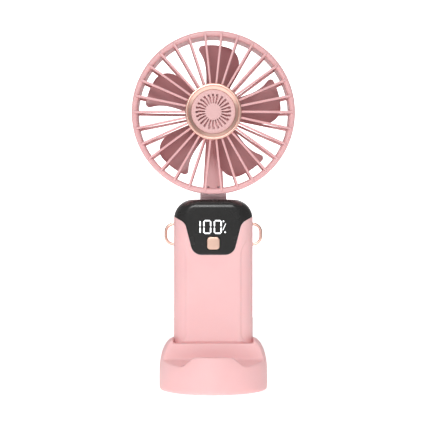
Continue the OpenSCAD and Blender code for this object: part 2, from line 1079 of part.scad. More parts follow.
// Front view of the stator: nine teeth with curved shoes on a round hub
function tooth_rows() =
    let (
        shoe_in = [for (i = [0 : 2]) 4.5 + i * 5.5],
        shoe_out = [for (i = [-5 : 5]) i * 3.1]
    )
    concat(
        [[5, -0.7]],
        [for (a = shoe_in) 8.9 * [cos(a), -sin(a)]],
        [for (a = shoe_out) 10.4 * [cos(a), sin(a)]],
        [for (i = [2 : -1 : 0]) 8.9 * [cos(shoe_in[i]), sin(shoe_in[i])]],
        [[5, 0.7]]
    );

module stator_core() {
    color([0.55, 0.55, 0.58])
        in_head()
            difference() {
                translate([0, 0, -4])
                    linear_extrude(8)
                        polygon([
                            for (i = [0 : 8], p = tooth_rows())
                                let (a = i * 40)
                                [p.x * cos(a) - p.y * sin(a), p.x * sin(a) + p.y * cos(a)]
                        ]);
                cylinder(r = tube_r + 0.02, h = 20, center = true);
            }
}

module stator_coils() {
    color([0.75, 0.42, 0.2])
        in_head()
            around(9, 5.3)
                difference() {
                    translate([0, -1.35, -4.9])
                        cube([3.3, 2.7, 9.8]);
                    translate([-1, -0.72, -4.02])
                        cube([6, 1.44, 8.04]);
                }
}

// Lead from the motor down the spine to the neck
module motor_leads() {
    color([0.8, 0.2, 0.2])
        in_head()
            intersection() {
                translate([-1.2, -head_r + 6, -30])
                    cube([2.4, head_r - 6 - cup_r - 0.5, 60]);
                side_profile([for (p = rear_rib_rows(cup_r, 1.6)) [p.x, p.y + 2.1]]);
            }
}

// ---------------------------------------------------------------- rotor

// How much the tip's corner takes off an edge, in degrees at radius r
function corner_cut(r, from, turn) =
    r <= from ? 0 : turn * (1 - sqrt(max(0, 1 - pow((r - from) / (blade_r - from), 2))));
function leading(r) = 59.3 + 0.02 * pow(r - 20, 2) + corner_cut(r, 30, 11) - blade_phase;
function trailing(r) = 99.1 + 0.043 * pow(r - 26.5, 2) - corner_cut(r, 35.8, 3) - blade_phase;

// Point at radius r on a share of the way from the leading to the trailing edge
function across_blade(r, share) =
    let (a = leading(r) + (trailing(r) - leading(r)) * share)
    r * [cos(a), sin(a)];

// Front view of one blade: leading edge, tip, trailing edge, root
function blade_rows() =
    let (
        steps = 16,
        radii = [for (i = [0 : steps]) blade_root_r + (blade_r - blade_root_r) * sin(90 * i / steps)],
        edge_in = [for (r = radii) r * [cos(leading(r)), sin(leading(r))]],
        edge_out = [for (i = [steps : -1 : 0]) radii[i] * [cos(trailing(radii[i])), sin(trailing(radii[i]))]],
        tip = [for (i = [1 : 5]) across_blade(blade_r, i / 6)],
        root = [for (i = [5 : -1 : 1]) across_blade(blade_root_r, i / 6)]
    )
    concat(edge_in, tip, edge_out, root);

module blade() {
    intersection() {
        linear_extrude(60, center = true)
            polygon(blade_rows());
        rotate([blade_pitch, 0, 0])
            translate([0, -40, -blade_t / 2])
                cube([60, 80, blade_t]);
    }
}

module impeller() {
    color([0.8, 0.56, 0.56])
        in_head() {
            for (i = [0 : blade_count - 1])
                rotate([0, 0, blade_phase + i * 360 / blade_count])
                    blade();
            rotate_extrude()
                polygon(rounded([
                    [shaft_r, 8.8, 0],
                    [rotor_hub_r, 8.8, 1.5],
                    [rotor_hub_r, -5.4, 0.3],
                    [rotor_hub_r - 1.2, -5.4, 0.3],
                    [rotor_hub_r - 1.2, 7.4, 0.5],
                    [shaft_r, 7.4, 0],
                ]));
        }
}

module motor_shaft() {
    color([0.75, 0.75, 0.77])
        in_head()
            translate([0, 0, -14.9])
                cylinder(r = shaft_r, h = 14.9 + 8.6);
}

module rotor_bell() {
    color([0.6, 0.6, 0.63])
        in_head()
            rotate_extrude()
                polygon([
                    [shaft_r, 6.5],
                    [12.35, 6.5],
                    [12.35, -5.2],
                    [12.95, -5.2],
                    [12.95, 7.1],
                    [shaft_r, 7.1],
                ]);
}

module magnet_ring() {
    color([0.25, 0.25, 0.27])
        in_head()
            ring(11, 12.3, -4.5, 4.5);
}

module shaft_clip() {
    color([0.7, 0.7, 0.72])
        in_head()
            ring(shaft_r, 1.9, -14.8, -14.4);
}

stand_shell();
stand_bottom_cover();
stand_weight();
stand_feet();
stand_screws();
front_shell();
rear_shell();
display_cover();
display_digits();
display_module();
main_board();
board_screws();
board_parts();
button_switch();
button_cap();
battery();
battery_tabs();
charge_board();
charge_port();
shell_screws();
hinge_pin();
hinge_washers();
left_ring();
right_ring();
neck_arm();
neck_screws();
rear_rim();
rear_ribs();
motor_cup();
front_rim();
front_ribs();
hub_seat();
hub_ring();
hub_cap();
motor_board();
bearing_tube();
motor_bearings();
motor_screws();
stator_core();
stator_coils();
motor_leads();
impeller();
motor_shaft();
rotor_bell();
magnet_ring();
shaft_clip();
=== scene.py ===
"""Looks of a handheld electric fan that stands in a round, weighted phone stand.

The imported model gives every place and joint. The classes below rebuild its visible pieces as
finished meshes, in millimetres, and dress all pieces in procedural finishes.
"""

import json
import logging
import math
from bisect import bisect_left
from dataclasses import dataclass, field
from enum import Enum
from functools import cached_property
from typing import Any, Callable, Sequence

import bmesh
import bpy
from mathutils import Matrix, Vector


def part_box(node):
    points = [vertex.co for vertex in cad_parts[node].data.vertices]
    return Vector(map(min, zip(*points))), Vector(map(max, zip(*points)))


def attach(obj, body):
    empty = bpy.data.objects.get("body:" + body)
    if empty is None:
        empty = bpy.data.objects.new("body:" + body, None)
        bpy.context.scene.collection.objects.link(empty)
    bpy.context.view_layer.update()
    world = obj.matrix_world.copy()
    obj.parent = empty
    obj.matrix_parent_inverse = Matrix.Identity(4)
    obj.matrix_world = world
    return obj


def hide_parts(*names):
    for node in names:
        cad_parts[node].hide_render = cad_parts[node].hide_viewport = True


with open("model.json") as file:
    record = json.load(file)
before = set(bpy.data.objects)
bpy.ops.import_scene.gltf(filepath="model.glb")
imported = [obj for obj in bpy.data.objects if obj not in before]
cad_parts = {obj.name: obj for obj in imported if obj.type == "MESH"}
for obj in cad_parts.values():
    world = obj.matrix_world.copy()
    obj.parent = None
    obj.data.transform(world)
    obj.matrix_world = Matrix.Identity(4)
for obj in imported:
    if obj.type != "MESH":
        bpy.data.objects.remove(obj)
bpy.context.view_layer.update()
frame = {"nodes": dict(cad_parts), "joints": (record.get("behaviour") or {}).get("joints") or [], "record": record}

MM = 0.001
WELD = 1e-4
LOG = logging.getLogger("fan")

Row = tuple[float, float, float]
Point = tuple[float, float]
Mesh = bmesh.types.BMesh
Piece = bpy.types.Object
Socket = bpy.types.NodeSocket
AXES_XZ = Matrix.Rotation(math.pi / 2, 4, "X")
AXES_YZ = Matrix.Rotation(math.pi / 2, 4, "Z") @ AXES_XZ


class Body(Enum):
    """The moving bodies that pieces ride on."""

    STAND = "stand"
    HANDLE = "handle"
    BUTTON = "button"
    LEFT_RING = "left_lanyard_ring"
    RIGHT_RING = "right_lanyard_ring"
    HEAD = "head"
    ROTOR = "rotor"


# ------------------------------------------------------------------ finishes


class Graph:
    """A material's node tree, with short ways to add and join nodes."""

    def __init__(self, name: str) -> None:
        """Start an empty tree.

        Args:
            name: The material's name.
        """
        self.material = bpy.data.materials.new(name)
        self.material.use_nodes = True
        self.tree = self.material.node_tree
        self.tree.nodes.clear()
        self.place = self.add("ShaderNodeTexCoord").outputs["Object"]

    def add(self, kind: str, inputs: dict[Any, Any] | None = None, **settings: Any) -> bpy.types.Node:
        """Add a node.

        Args:
            kind: The node's type name.
            inputs: Values or sockets for the node's inputs, by name or index.
            settings: Properties of the node itself.

        Returns:
            The new node.
        """
        node = self.tree.nodes.new(kind)
        for key, value in settings.items():
            setattr(node, key, value)
        for key, value in (inputs or {}).items():
            if isinstance(value, Socket):
                self.tree.links.new(value, node.inputs[key])
            else:
                node.inputs[key].default_value = value
        return node

    def noise(self, size_mm: float, detail: float = 2.0, stretch: Row = (1, 1, 1)) -> Socket:
        """Noise whose blobs are about size_mm across, stretched along the axes.

        Args:
            size_mm: Size of a blob.
            detail: Octaves of finer noise.
            stretch: Scale of the pattern along X, Y and Z.

        Returns:
            The noise value's socket.
        """
        place = self.add("ShaderNodeMapping", {"Vector": self.place, "Scale": stretch}).outputs[0]
        scale = 1 / (size_mm * MM)
        inputs = {"Vector": place, "Scale": scale, "Detail": detail}
        return self.add("ShaderNodeTexNoise", inputs).outputs["Fac"]

    def spread(self, value: Socket, low: float, high: float,
               from_low: float = 0.3, from_high: float = 0.7) -> Socket:
        """Map a value's usual range onto another range.

        Args:
            value: The socket to map.
            low: Result at from_low.
            high: Result at from_high.
            from_low: Lower end of the value.
            from_high: Upper end of the value.

        Returns:
            The mapped socket.
        """
        ends = {
            "Value": value, "From Min": from_low, "From Max": from_high, "To Min": low, "To Max": high,
        }
        return self.add("ShaderNodeMapRange", ends).outputs["Result"]

    def mix(self, share: Any, first: Any, second: Any) -> Socket:
        """Mix two colours.

        Args:
            share: Share of the second colour.
            first: First colour, as three numbers or a socket.
            second: Second colour, as three numbers or a socket.

        Returns:
            The mixed colour's socket.
        """
        node = self.add("ShaderNodeMix", {0: share}, data_type="RGBA")
        for index, colour in ((6, first), (7, second)):
            if isinstance(colour, Socket):
                self.tree.links.new(colour, node.inputs[index])
            else:
                node.inputs[index].default_value = (*colour, 1)
        return node.outputs[2]

    def bump(self, height: Socket, depth_mm: float,
             normal: Socket | None = None) -> Socket:
        """Turn a height into a bumped normal.

        Args:
            height: Height from 0 to 1.
            depth_mm: Depth that a height of 1 stands for.
            normal: A normal to add the bump to.

        Returns:
            The normal's socket.
        """
        inputs = {"Height": height, "Distance": depth_mm * MM, "Strength": 1.0}
        if normal is not None:
            inputs["Normal"] = normal
        return self.add("ShaderNodeBump", inputs).outputs[0]

    def close(self, shader: dict[str, Any]) -> bpy.types.Material:
        """Add the surface shader and the output.

        Args:
            shader: Inputs of the Principled shader.

        Returns:
            The finished material.
        """
        surface = self.add("ShaderNodeBsdfPrincipled", shader)
        self.add("ShaderNodeOutputMaterial", {"Surface": surface.outputs[0]})
        return self.material


@dataclass(frozen=True)
class Plastic:
    """Moulded plastic: slow colour drift, fine spark grain, uneven gloss and paler worn edges."""

    name: str
    colour: Row
    drift: Row
    roughness: float = 0.42
    uneven: float = 0.07
    grain_mm: float = 0.45
    grain_depth_mm: float = 0.006
    drift_mm: float = 22.0
    wear: float = 0.0
    coat: float = 0.0
    coat_roughness: float = 0.1
    subsurface: float = 0.0

    def make(self) -> bpy.types.Material:
        """Build the material."""
        graph = Graph(self.name)
        cloud = graph.noise(self.drift_mm, 3)
        colour = graph.mix(graph.spread(cloud, 0, 1), self.colour, self.drift)
        speck = graph.noise(self.grain_mm * 3, 2)
        colour = graph.mix(graph.spread(speck, 0, 0.16), colour, self.drift)
        if self.wear > 0:
            edge = graph.add("ShaderNodeNewGeometry").outputs["Pointiness"]
            pale = tuple(min(1.0, c * 1.12 + 0.05) for c in self.colour)
            colour = graph.mix(graph.spread(edge, 0, self.wear, 0.52, 0.62), colour, pale)
        gloss = graph.noise(self.drift_mm * 0.4, 3)
        rough = graph.spread(gloss, self.roughness - self.uneven / 2, self.roughness + self.uneven / 2)
        grain = graph.bump(graph.noise(self.grain_mm, 2), self.grain_depth_mm)
        normal = graph.bump(graph.noise(self.drift_mm * 1.4, 1), 0.03, grain)
        return graph.close({
            "Base Color": colour, "Roughness": rough, "Normal": normal,
            "Coat Weight": self.coat, "Coat Roughness": self.coat_roughness,
            "Subsurface Weight": self.subsurface, "Subsurface Radius": (0.004, 0.0015, 0.001),
            "Subsurface Scale": 0.5, "IOR": 1.48,
        })


@dataclass(frozen=True)
class Metal:
    """Plated or machined metal: fine brushing along one axis, uneven tone and small scratches."""

    name: str
    colour: Row
    drift: Row
    roughness: float = 0.2
    uneven: float = 0.08
    brush_mm: float = 0.25
    stretch: Row = (1, 1, 1)
    brush_depth_mm: float = 0.002

    def make(self) -> bpy.types.Material:
        """Build the material."""
        graph = Graph(self.name)
        brush = graph.noise(self.brush_mm, 4, self.stretch)
        colour = graph.mix(graph.spread(graph.noise(6, 3), 0, 1), self.colour, self.drift)
        colour = graph.mix(graph.spread(brush, 0, 0.3), colour, self.drift)
        rough = graph.spread(brush, self.roughness - self.uneven / 2, self.roughness + self.uneven / 2)
        normal = graph.bump(brush, self.brush_depth_mm)
        return graph.close({
            "Base Color": colour, "Roughness": rough, "Metallic": 1.0, "Normal": normal,
        })


@dataclass(frozen=True)
class Glow:
    """Lit digit segments behind a thin diffuser."""

    name: str
    colour: Row
    strength: float = 3.0

    def make(self) -> bpy.types.Material:
        """Build the material."""
        graph = Graph(self.name)
        cell = graph.spread(graph.noise(0.6, 2), 0.9, 1.0)
        colour = graph.mix(cell, (0.7, 0.75, 0.8), self.colour)
        return graph.close({
            "Base Color": colour, "Roughness": graph.spread(graph.noise(0.8, 2), 0.25, 0.35),
            "Emission Color": colour, "Emission Strength": self.strength,
        })


FINISHES = {
    "shell_plastic": Plastic("shell_pink", (0.93, 0.575, 0.575), (0.90, 0.535, 0.54), 0.46, wear=0.4,
                             subsurface=0.12),
    "stand_plastic": Plastic("stand_pink", (0.92, 0.565, 0.565), (0.89, 0.525, 0.53), 0.48, wear=0.4,
                             subsurface=0.12),
    "inner_plastic": Plastic("inner_pink", (0.80, 0.46, 0.47), (0.76, 0.42, 0.43), 0.55),
    "grille_plastic": Plastic("grille_pink", (0.84, 0.49, 0.495), (0.80, 0.45, 0.46), 0.38, wear=0.3,
                              subsurface=0.08),
    # Neck: a paler copy of the grille pink, which paints light onto the neck where the rim's shadow falls.
    "neck_painted_light": Plastic("neck_pink_painted_light", (0.97, 0.74, 0.77), (0.96, 0.71, 0.74), 0.42, wear=0.3),
    "cap_plastic": Plastic("cap_pink", (0.80, 0.50, 0.49), (0.77, 0.47, 0.465), 0.5, grain_mm=0.3),
    "blade_plastic": Plastic("blade_pink", (0.46, 0.225, 0.23), (0.42, 0.195, 0.205), 0.33, wear=0.15),
    "black_cover": Plastic("black_gloss", (0.018, 0.0185, 0.018), (0.024, 0.024, 0.0235), 0.26,
                           uneven=0.04, grain_mm=1.2, grain_depth_mm=0.0012),
    "rose_gold": Metal("rose_gold_plate", (0.95, 0.65, 0.55), (0.92, 0.60, 0.50), 0.36,
                       brush_depth_mm=0.0008),
    "rose_gold_satin": Metal("rose_gold_satin", (0.88, 0.62, 0.50), (0.84, 0.57, 0.46), 0.42,
                             stretch=(1, 1, 6), brush_mm=0.3),
    "lit_digits": Glow("digit_light", (0.96, 0.98, 1.0), 0.8),
    "display_block": Plastic("display_block", (0.70, 0.70, 0.66), (0.66, 0.66, 0.62), 0.5),
    "board_green": Plastic("board_green", (0.02, 0.13, 0.06), (0.015, 0.10, 0.05), 0.3, coat=0.4),
    "chip_black": Plastic("chip_black", (0.02, 0.02, 0.022), (0.03, 0.03, 0.032), 0.5),
    "battery_wrap": Plastic("battery_wrap", (0.08, 0.22, 0.42), (0.07, 0.19, 0.37), 0.25, coat=0.3),
    "nickel": Metal("nickel", (0.66, 0.65, 0.62), (0.58, 0.57, 0.55), 0.3),
    "screw_steel": Metal("screw_steel", (0.58, 0.58, 0.60), (0.50, 0.50, 0.52), 0.32),
    "washer_steel": Metal("washer_steel", (0.25, 0.25, 0.28), (0.20, 0.20, 0.22), 0.4),
    "weight_steel": Metal("weight_steel", (0.45, 0.45, 0.46), (0.38, 0.38, 0.40), 0.45),
    "foot_rubber": Plastic("foot_rubber", (0.62, 0.34, 0.35), (0.58, 0.31, 0.32), 0.8, grain_mm=0.6,
                           grain_depth_mm=0.02),
    "tube_brass": Metal("tube_brass", (0.78, 0.60, 0.32), (0.72, 0.54, 0.28), 0.28),
    "core_steel": Metal("core_steel", (0.42, 0.42, 0.44), (0.36, 0.36, 0.38), 0.42, stretch=(1, 8, 1)),
    "coil_copper": Metal("coil_copper", (0.66, 0.30, 0.14), (0.55, 0.24, 0.11), 0.34, stretch=(1, 1, 5),
                         brush_depth_mm=0.02),
    "magnet": Plastic("magnet", (0.07, 0.07, 0.075), (0.05, 0.05, 0.055), 0.6),
    "lead_red": Plastic("lead_red", (0.5, 0.05, 0.05), (0.42, 0.04, 0.04), 0.45),
}
MATERIALS = {slot: finish.make() for slot, finish in FINISHES.items()}

# ------------------------------------------------------------------ outlines and meshes


def fillet(rows: Sequence[Row], steps: int = 8, closed: bool = True) -> list[Point]:
    """Round the corners of an outline.

    Args:
        rows: Corners as x, y and corner radius.
        steps: Chords to each rounded corner.
        closed: True if the last corner joins the first.

    Returns:
        The outline's points.
    """
    points: list[Point] = []
    count = len(rows)
    for i, (x, y, radius) in enumerate(rows):
        if radius <= 0 or (not closed and i in (0, count - 1)):
            points.append((x, y))
            continue
        here = Vector((x, y))
        before = (Vector(rows[i - 1][:2]) - here).normalized()
        after = (Vector(rows[(i + 1) % count][:2]) - here).normalized()
        half = before.angle(after) / 2
        middle = here + (before + after).normalized() * radius / math.sin(half)
        reach = radius / math.tan(half)
        start = here + before * reach - middle
        end = here + after * reach - middle
        turn = math.atan2(start.x * end.y - start.y * end.x, start.dot(end))
        for k in range(steps + 1):
            arm = start.copy()
            arm.rotate(Matrix.Rotation(turn * k / steps, 2))
            points.append((middle.x + arm.x, middle.y + arm.y))
    return points


def rounded_box(x0: float, y0: float, x1: float, y1: float, radius: float, steps: int = 8) -> list[Point]:
    """Outline of a rectangle with round corners, from its lowest to its highest corner."""
    return fillet([(x0, y0, radius), (x1, y0, radius), (x1, y1, radius), (x0, y1, radius)], steps)


def circle(x: float, y: float, radius: float, count: int) -> list[Point]:
    """Points evenly round a circle."""
    turns = [2 * math.pi * k / count for k in range(count)]
    return [(x + radius * math.cos(a), y + radius * math.sin(a)) for a in turns]


def smooth(value: float) -> float:
    """Ease from 0 to 1 as value goes from 0 to 1."""
    t = min(1.0, max(0.0, value))
    return t * t * (3 - 2 * t)


def loop(bm: Mesh, points: Sequence[Sequence[float]], closed: bool = True) -> list[Any]:
    """Add a chain of edges through points.

    Args:
        bm: The mesh.
        points: Places of the vertices.
        closed: True to join the last vertex to the first.

    Returns:
        The new vertices and edges.
    """
    verts = [bm.verts.new(p) for p in points]
    pairs = list(zip(verts, verts[1:] + verts[:1])) if closed else list(zip(verts, verts[1:]))
    return [*verts, *[bm.edges.new(pair) for pair in pairs]]


def face_outward(bm: Mesh) -> None:
    """Turn all faces of a mesh the same way, outwards where it is closed."""
    bmesh.ops.recalc_face_normals(bm, faces=bm.faces)


def spun(points: Sequence[Point], steps: int, least: float, closed: bool = True) -> Mesh:
    """Turn a chain of radius and height about Z.

    Args:
        points: Radius and height of each point.
        steps: Facets round the full turn.
        least: Faces with less area than this, at the poles, are removed.
        closed: True if the last point joins the first.

    Returns:
        The mesh.
    """
    bm = bmesh.new()
    chain = loop(bm, [(r, 0, z) for r, z in points], closed)
    bmesh.ops.spin(bm, geom=chain, cent=(0, 0, 0), axis=(0, 0, 1), angle=2 * math.pi, steps=steps,
                   use_merge=True, use_duplicate=False)
    bmesh.ops.remove_doubles(bm, verts=bm.verts, dist=WELD)
    flat = [f for f in bm.faces if f.calc_area() < least]
    bmesh.ops.delete(bm, geom=flat, context="FACES")
    return bm


def revolve(outline: Sequence[Point], steps: int = 144) -> Mesh:
    """Turn a closed outline of radius and height into a solid."""
    bm = spun(outline, steps, 1e-8)
    face_outward(bm)
    return bm


def prism(outline: Sequence[Point], low: float, high: float) -> Mesh:
    """Extrude a closed outline drawn in X and Y along Z.

    Args:
        outline: Points of the outline.
        low: Height of the first end.
        high: Height of the other end.

    Returns:
        The mesh.
    """
    bm = bmesh.new()
    face = bm.faces.new([bm.verts.new((x, y, low)) for x, y in outline])
    moved = bmesh.ops.extrude_face_region(bm, geom=[face])["geom"]
    verts = [v for v in moved if isinstance(v, bmesh.types.BMVert)]
    bmesh.ops.translate(bm, verts=verts, vec=(0, 0, high - low))
    face_outward(bm)
    return bm


def long_cube(cuts: int) -> Mesh:
    """A cube of side 1 that is cut a number of times along X, to be shaped afterwards."""
    bm = bmesh.new()
    bmesh.ops.create_cube(bm, size=1.0)
    along = [e for e in bm.edges if abs(e.verts[0].co.x - e.verts[1].co.x) > 0.5]
    bmesh.ops.subdivide_edges(bm, edges=along, cuts=cuts)
    return bm


def join(meshes: Sequence[Mesh]) -> Mesh:
    """Put several meshes into one and free them.

    Args:
        meshes: The meshes to join.

    Returns:
        One mesh with all of them.
    """
    whole = bmesh.new()
    for bm in meshes:
        part = bpy.data.meshes.new("part")
        bm.to_mesh(part)
        bm.free()
        whole.from_mesh(part)
        bpy.data.meshes.remove(part)
    return whole


def turned(bm: Mesh, matrix: Matrix) -> Mesh:
    """Move a whole mesh by a matrix and return it."""
    bmesh.ops.transform(bm, matrix=matrix, verts=bm.verts)
    return bm


def bevel(bm: Mesh, edges: Sequence[bmesh.types.BMEdge], width: float, segments: int) -> None:
    """Round some edges with a bevel of a width and a number of steps."""
    bmesh.ops.bevel(bm, geom=edges, offset=width, offset_type="OFFSET", segments=segments, profile=0.5,
                    affect="EDGES", clamp_overlap=True, material=-1)


def round_edges(bm: Mesh, width: float, segments: int, sharper: float,
                below: float = math.inf) -> None:
    """Bevel every edge that is sharper than an angle.

    Args:
        bm: The mesh.
        width: Width of the bevel.
        segments: Steps across the bevel.
        sharper: Least angle between the two faces, in degrees.
        below: Height below which edges are bevelled.
    """
    limit = math.radians(sharper)
    edges = [e for e in bm.edges if len(e.link_faces) == 2 and e.calc_face_angle(0) > limit
             and max(v.co.z for v in e.verts) < below]
    bevel(bm, edges, width, segments)


def grid(columns: int, rows: int, place: Callable[[float, float], Sequence[float]]) -> Mesh:
    """Lay a sheet of quads over a surface.

    Args:
        columns: Quads across.
        rows: Quads up.
        place: Gives the point at u and v, both from 0 to 1.

    Returns:
        The mesh.
    """
    bm = bmesh.new()
    bmesh.ops.create_grid(bm, x_segments=columns, y_segments=rows, size=0.5)
    for v in bm.verts:
        v.co = Vector(place(v.co.x + 0.5, v.co.y + 0.5))
    return bm


def thicken(bm: Mesh, thickness: float, inside: Vector) -> None:
    """Give an open sheet a wall on its inner side.

    Args:
        bm: The sheet.
        thickness: Thickness of the wall.
        inside: A point on the inner side.
    """
    close_by, short = 0.01, 0.002
    bmesh.ops.remove_doubles(bm, verts=bm.verts, dist=close_by)
    bmesh.ops.dissolve_degenerate(bm, edges=bm.edges, dist=short)
    face_outward(bm)
    bm.normal_update()
    outward = sum(f.normal.dot(f.calc_center_median() - inside) * f.calc_area() for f in bm.faces)
    if outward < 0:
        bmesh.ops.reverse_faces(bm, faces=bm.faces)
        bm.normal_update()
    bmesh.ops.solidify(bm, geom=bm.faces[:], thickness=thickness)
    face_outward(bm)
    if bm.calc_volume(signed=True) < 0:
        bmesh.ops.reverse_faces(bm, faces=bm.faces)


def object_of(name: str, bm: Mesh) -> Piece:
    """Make a linked object from a mesh in millimetres, and free the mesh.

    Args:
        name: Name of the object.
        bm: The mesh.

    Returns:
        The object, in metres.
    """
    bmesh.ops.scale(bm, vec=(MM, MM, MM), verts=bm.verts)
    mesh = bpy.data.meshes.new(name)
    bm.to_mesh(mesh)
    bm.free()
    piece = bpy.data.objects.new(name, mesh)
    bpy.context.scene.collection.objects.link(piece)
    return piece


def apply_modifiers(piece: Piece) -> None:
    """Replace a piece's mesh by what its modifiers make of it."""
    bpy.context.view_layer.update()
    graph = bpy.context.evaluated_depsgraph_get()
    mesh = bpy.data.meshes.new_from_object(piece.evaluated_get(graph), depsgraph=graph)
    old = piece.data
    piece.modifiers.clear()
    piece.data = mesh
    bpy.data.meshes.remove(old)


def discard(piece: Piece) -> None:
    """Remove an object and its mesh."""
    mesh = piece.data
    bpy.data.objects.remove(piece)
    bpy.data.meshes.remove(mesh)


def carve(piece: Piece, cutters: Sequence[Mesh]) -> None:
    """Cut meshes out of a piece.

    Args:
        piece: The piece to cut.
        cutters: Closed meshes in millimetres, freed afterwards.
    """
    tools = [object_of("cutter", bm) for bm in cutters]
    for tool in tools:
        cut = piece.modifiers.new("cut", "BOOLEAN")
        cut.operation = "DIFFERENCE"
        cut.solver = "EXACT"
        cut.object = tool
    apply_modifiers(piece)
    for tool in tools:
        discard(tool)


def remesh(piece: Piece, voxel_mm: float, passes: int) -> None:
    """Rebuild a piece from even quads and relax them, which rounds every edge a little.

    Args:
        piece: The piece.
        voxel_mm: Size of the quads.
        passes: How often the vertices are relaxed.
    """
    even = piece.modifiers.new("even", "REMESH")
    even.mode = "VOXEL"
    even.voxel_size = voxel_mm * MM
    apply_modifiers(piece)
    bm = bmesh.new()
    bm.from_mesh(piece.data)
    for _ in range(passes):
        bmesh.ops.smooth_vert(bm, verts=bm.verts, factor=0.5, use_axis_x=True, use_axis_y=True,
                              use_axis_z=True)
    bm.to_mesh(piece.data)
    bm.free()


def shade(piece: Piece, sharp: float) -> None:
    """Shade a piece smooth, apart from edges sharper than an angle in degrees."""
    mesh = piece.data
    mesh.polygons.foreach_set("use_smooth", [True] * len(mesh.polygons))
    mesh.set_sharp_from_angle(angle=math.radians(sharp))
    mesh.update()


def dress(piece: Piece, body: Body, slot: str, nodes: Sequence[str] = (),
          sharp: float = 35.0, finish: str = "") -> None:
    """Finish a piece: finish, shading, body, slot and the nodes it stands for.

    Args:
        piece: The piece, in place.
        body: Body that it rides on.
        slot: Material slot.
        nodes: Nodes that it replaces.
        sharp: Angle above which an edge stays sharp, in degrees.
        finish: Name of the finish, if it isn't the slot's own.
    """
    piece.data.materials.clear()
    piece.data.materials.append(MATERIALS[finish or slot])
    shade(piece, sharp)
    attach(piece, body.value)
    if nodes:
        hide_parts(*nodes)
    LOG.info("%s: %d faces on %s", piece.name, len(piece.data.polygons), body.value)


def copy_of(node: str, name: str) -> Piece:
    """Copy a node's mesh with its loose triangles merged.

    Args:
        node: Name of the node.
        name: Name of the copy.

    Returns:
        The new object.
    """
    bm = bmesh.new()
    bm.from_mesh(frame["nodes"][node].data)
    bmesh.ops.remove_doubles(bm, verts=bm.verts, dist=1e-6)
    bmesh.ops.scale(bm, vec=(1 / MM,) * 3, verts=bm.verts)
    return object_of(name, bm)


def mesh_of(piece: Piece) -> Mesh:
    """Take a piece's mesh back into millimetres and remove the piece."""
    bm = bmesh.new()
    bm.from_mesh(piece.data)
    bmesh.ops.scale(bm, vec=(1 / MM,) * 3, verts=bm.verts)
    discard(piece)
    return bm


def box_mm(node: str) -> tuple[Vector, Vector]:
    """Lowest and highest corner of a node, in millimetres."""
    low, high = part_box(node)
    return low / MM, high / MM


def side_of(node: str, end: int, axis: int) -> Any:
    """Dataclass field that starts as a side of a node's box: end 0 or 1 along an axis."""
    return field(default_factory=lambda: box_mm(node)[end][axis])


def joint_mm(name: str) -> Vector:
    """A hinge's point, in millimetres."""
    place = next(j["pos_m"] for j in frame["joints"] if j["name"] == name)
    return Vector(place) / MM


# ------------------------------------------------------------------ stand


@dataclass
class Stand:
    """The round stand with its domed shoulder, handle socket, phone slot and lip."""

    radius: float = side_of("stand_shell", 1, 0)
    foot_z: float = side_of("stand_shell", 0, 2)
    top_z: float = side_of("stand_shell", 1, 2)
    shoulder_z: float = 11.5
    shoulder_in: float = 8.5
    crown_z: float = 30.0
    foot_round: float = 1.6
    rest_y: float = -10.5
    rest_lean: float = 0.12
    slot_z: float = 18.0
    slot_drop: float = 2.5
    slot_w: float = 14.4
    lip_z: float = 21.1
    lip_half_w: float = 10.5
    socket_gap: float = 0.15
    front_wall_z: float = 27.0
    voxel_mm: float = 0.42

    def outline(self) -> list[Point]:
        """Outline of the turned body: foot round, wall, elliptic shoulder and flat crown."""
        radius, top = self.radius, self.top_z
        corners = [
            (0, self.foot_z, 0), (radius, self.foot_z, self.foot_round), (radius, self.shoulder_z, 0),
        ]
        base = fillet(corners, 6, closed=False)
        steps = 28
        dome: list[Point] = []
        for i in range(1, steps + 1):
            z = self.shoulder_z + (top - self.shoulder_z) * math.sin(math.pi / 2 * i / steps)
            part = (z - self.shoulder_z) / (self.crown_z - self.shoulder_z)
            dome.append((radius - self.shoulder_in * (1 - math.sqrt(1 - part * part)), z))
        return [*base, *dome, (0, top)]

    def slot_cutter(self) -> Mesh:
        """The room of the phone slot, from the leaning rest to the lip."""
        lip_y = self.rest_y - self.slot_w
        high = 45.0
        rows = [
            (self.rest_y + self.rest_lean * (high - self.slot_z), high, 0),
            (lip_y, high, 0),
            (lip_y, self.slot_z - self.slot_drop, 1.0),
            (self.rest_y, self.slot_z, 1.0),
        ]
        return turned(prism(fillet(rows), -45, 45), AXES_YZ)

    def lip_cutter(self) -> Mesh:
        """What stands above the lip's rounded outline, in front of the slot."""
        lip_y = self.rest_y - self.slot_w
        slope = 0.833
        far = 40.0
        foot = self.lip_z - (far - self.lip_half_w) * slope
        rows = [
            (-far, 45, 0), (-far, foot, 0), (-self.lip_half_w, self.lip_z, 4),
            (self.lip_half_w, self.lip_z, 4), (far, foot, 0), (far, 45, 0),
        ]
        bm = turned(prism(fillet(rows), 0, 12), AXES_XZ)
        return turned(bm, Matrix.Translation((0, lip_y + 0.02, 0)))

    def socket_cutter(self, form: "HandleForm") -> Mesh:
        """The socket that holds the handle's foot."""
        gap, above = self.socket_gap, 60.0
        outline = rounded_box(-form.half_w - gap, form.front - gap, form.half_w + gap, form.back + gap,
                              form.side_r, 10)
        return prism(outline, form.bottom, above)

    def front_cutter(self, form: "HandleForm") -> Mesh:
        """What stands above the socket's front wall, which is lower than its sides."""
        half, before, behind, above = form.half_w + self.socket_gap, -20, -2, 45
        outline = [(-half, before), (half, before), (half, behind), (-half, behind)]
        return prism(outline, self.front_wall_z, above)

    def build(self, form: "HandleForm") -> None:
        """Build the stand's shell.

        Args:
            form: The handle, which the socket fits.
        """
        shell = object_of("stand_shell_fine", revolve(self.outline(), 160))
        slot, lip = self.slot_cutter(), self.lip_cutter()
        carve(shell, [slot, lip, self.socket_cutter(form), self.front_cutter(form)])
        remesh(shell, self.voxel_mm, 5)
        dress(shell, Body.STAND, "stand_plastic", ["stand_shell"], 60)


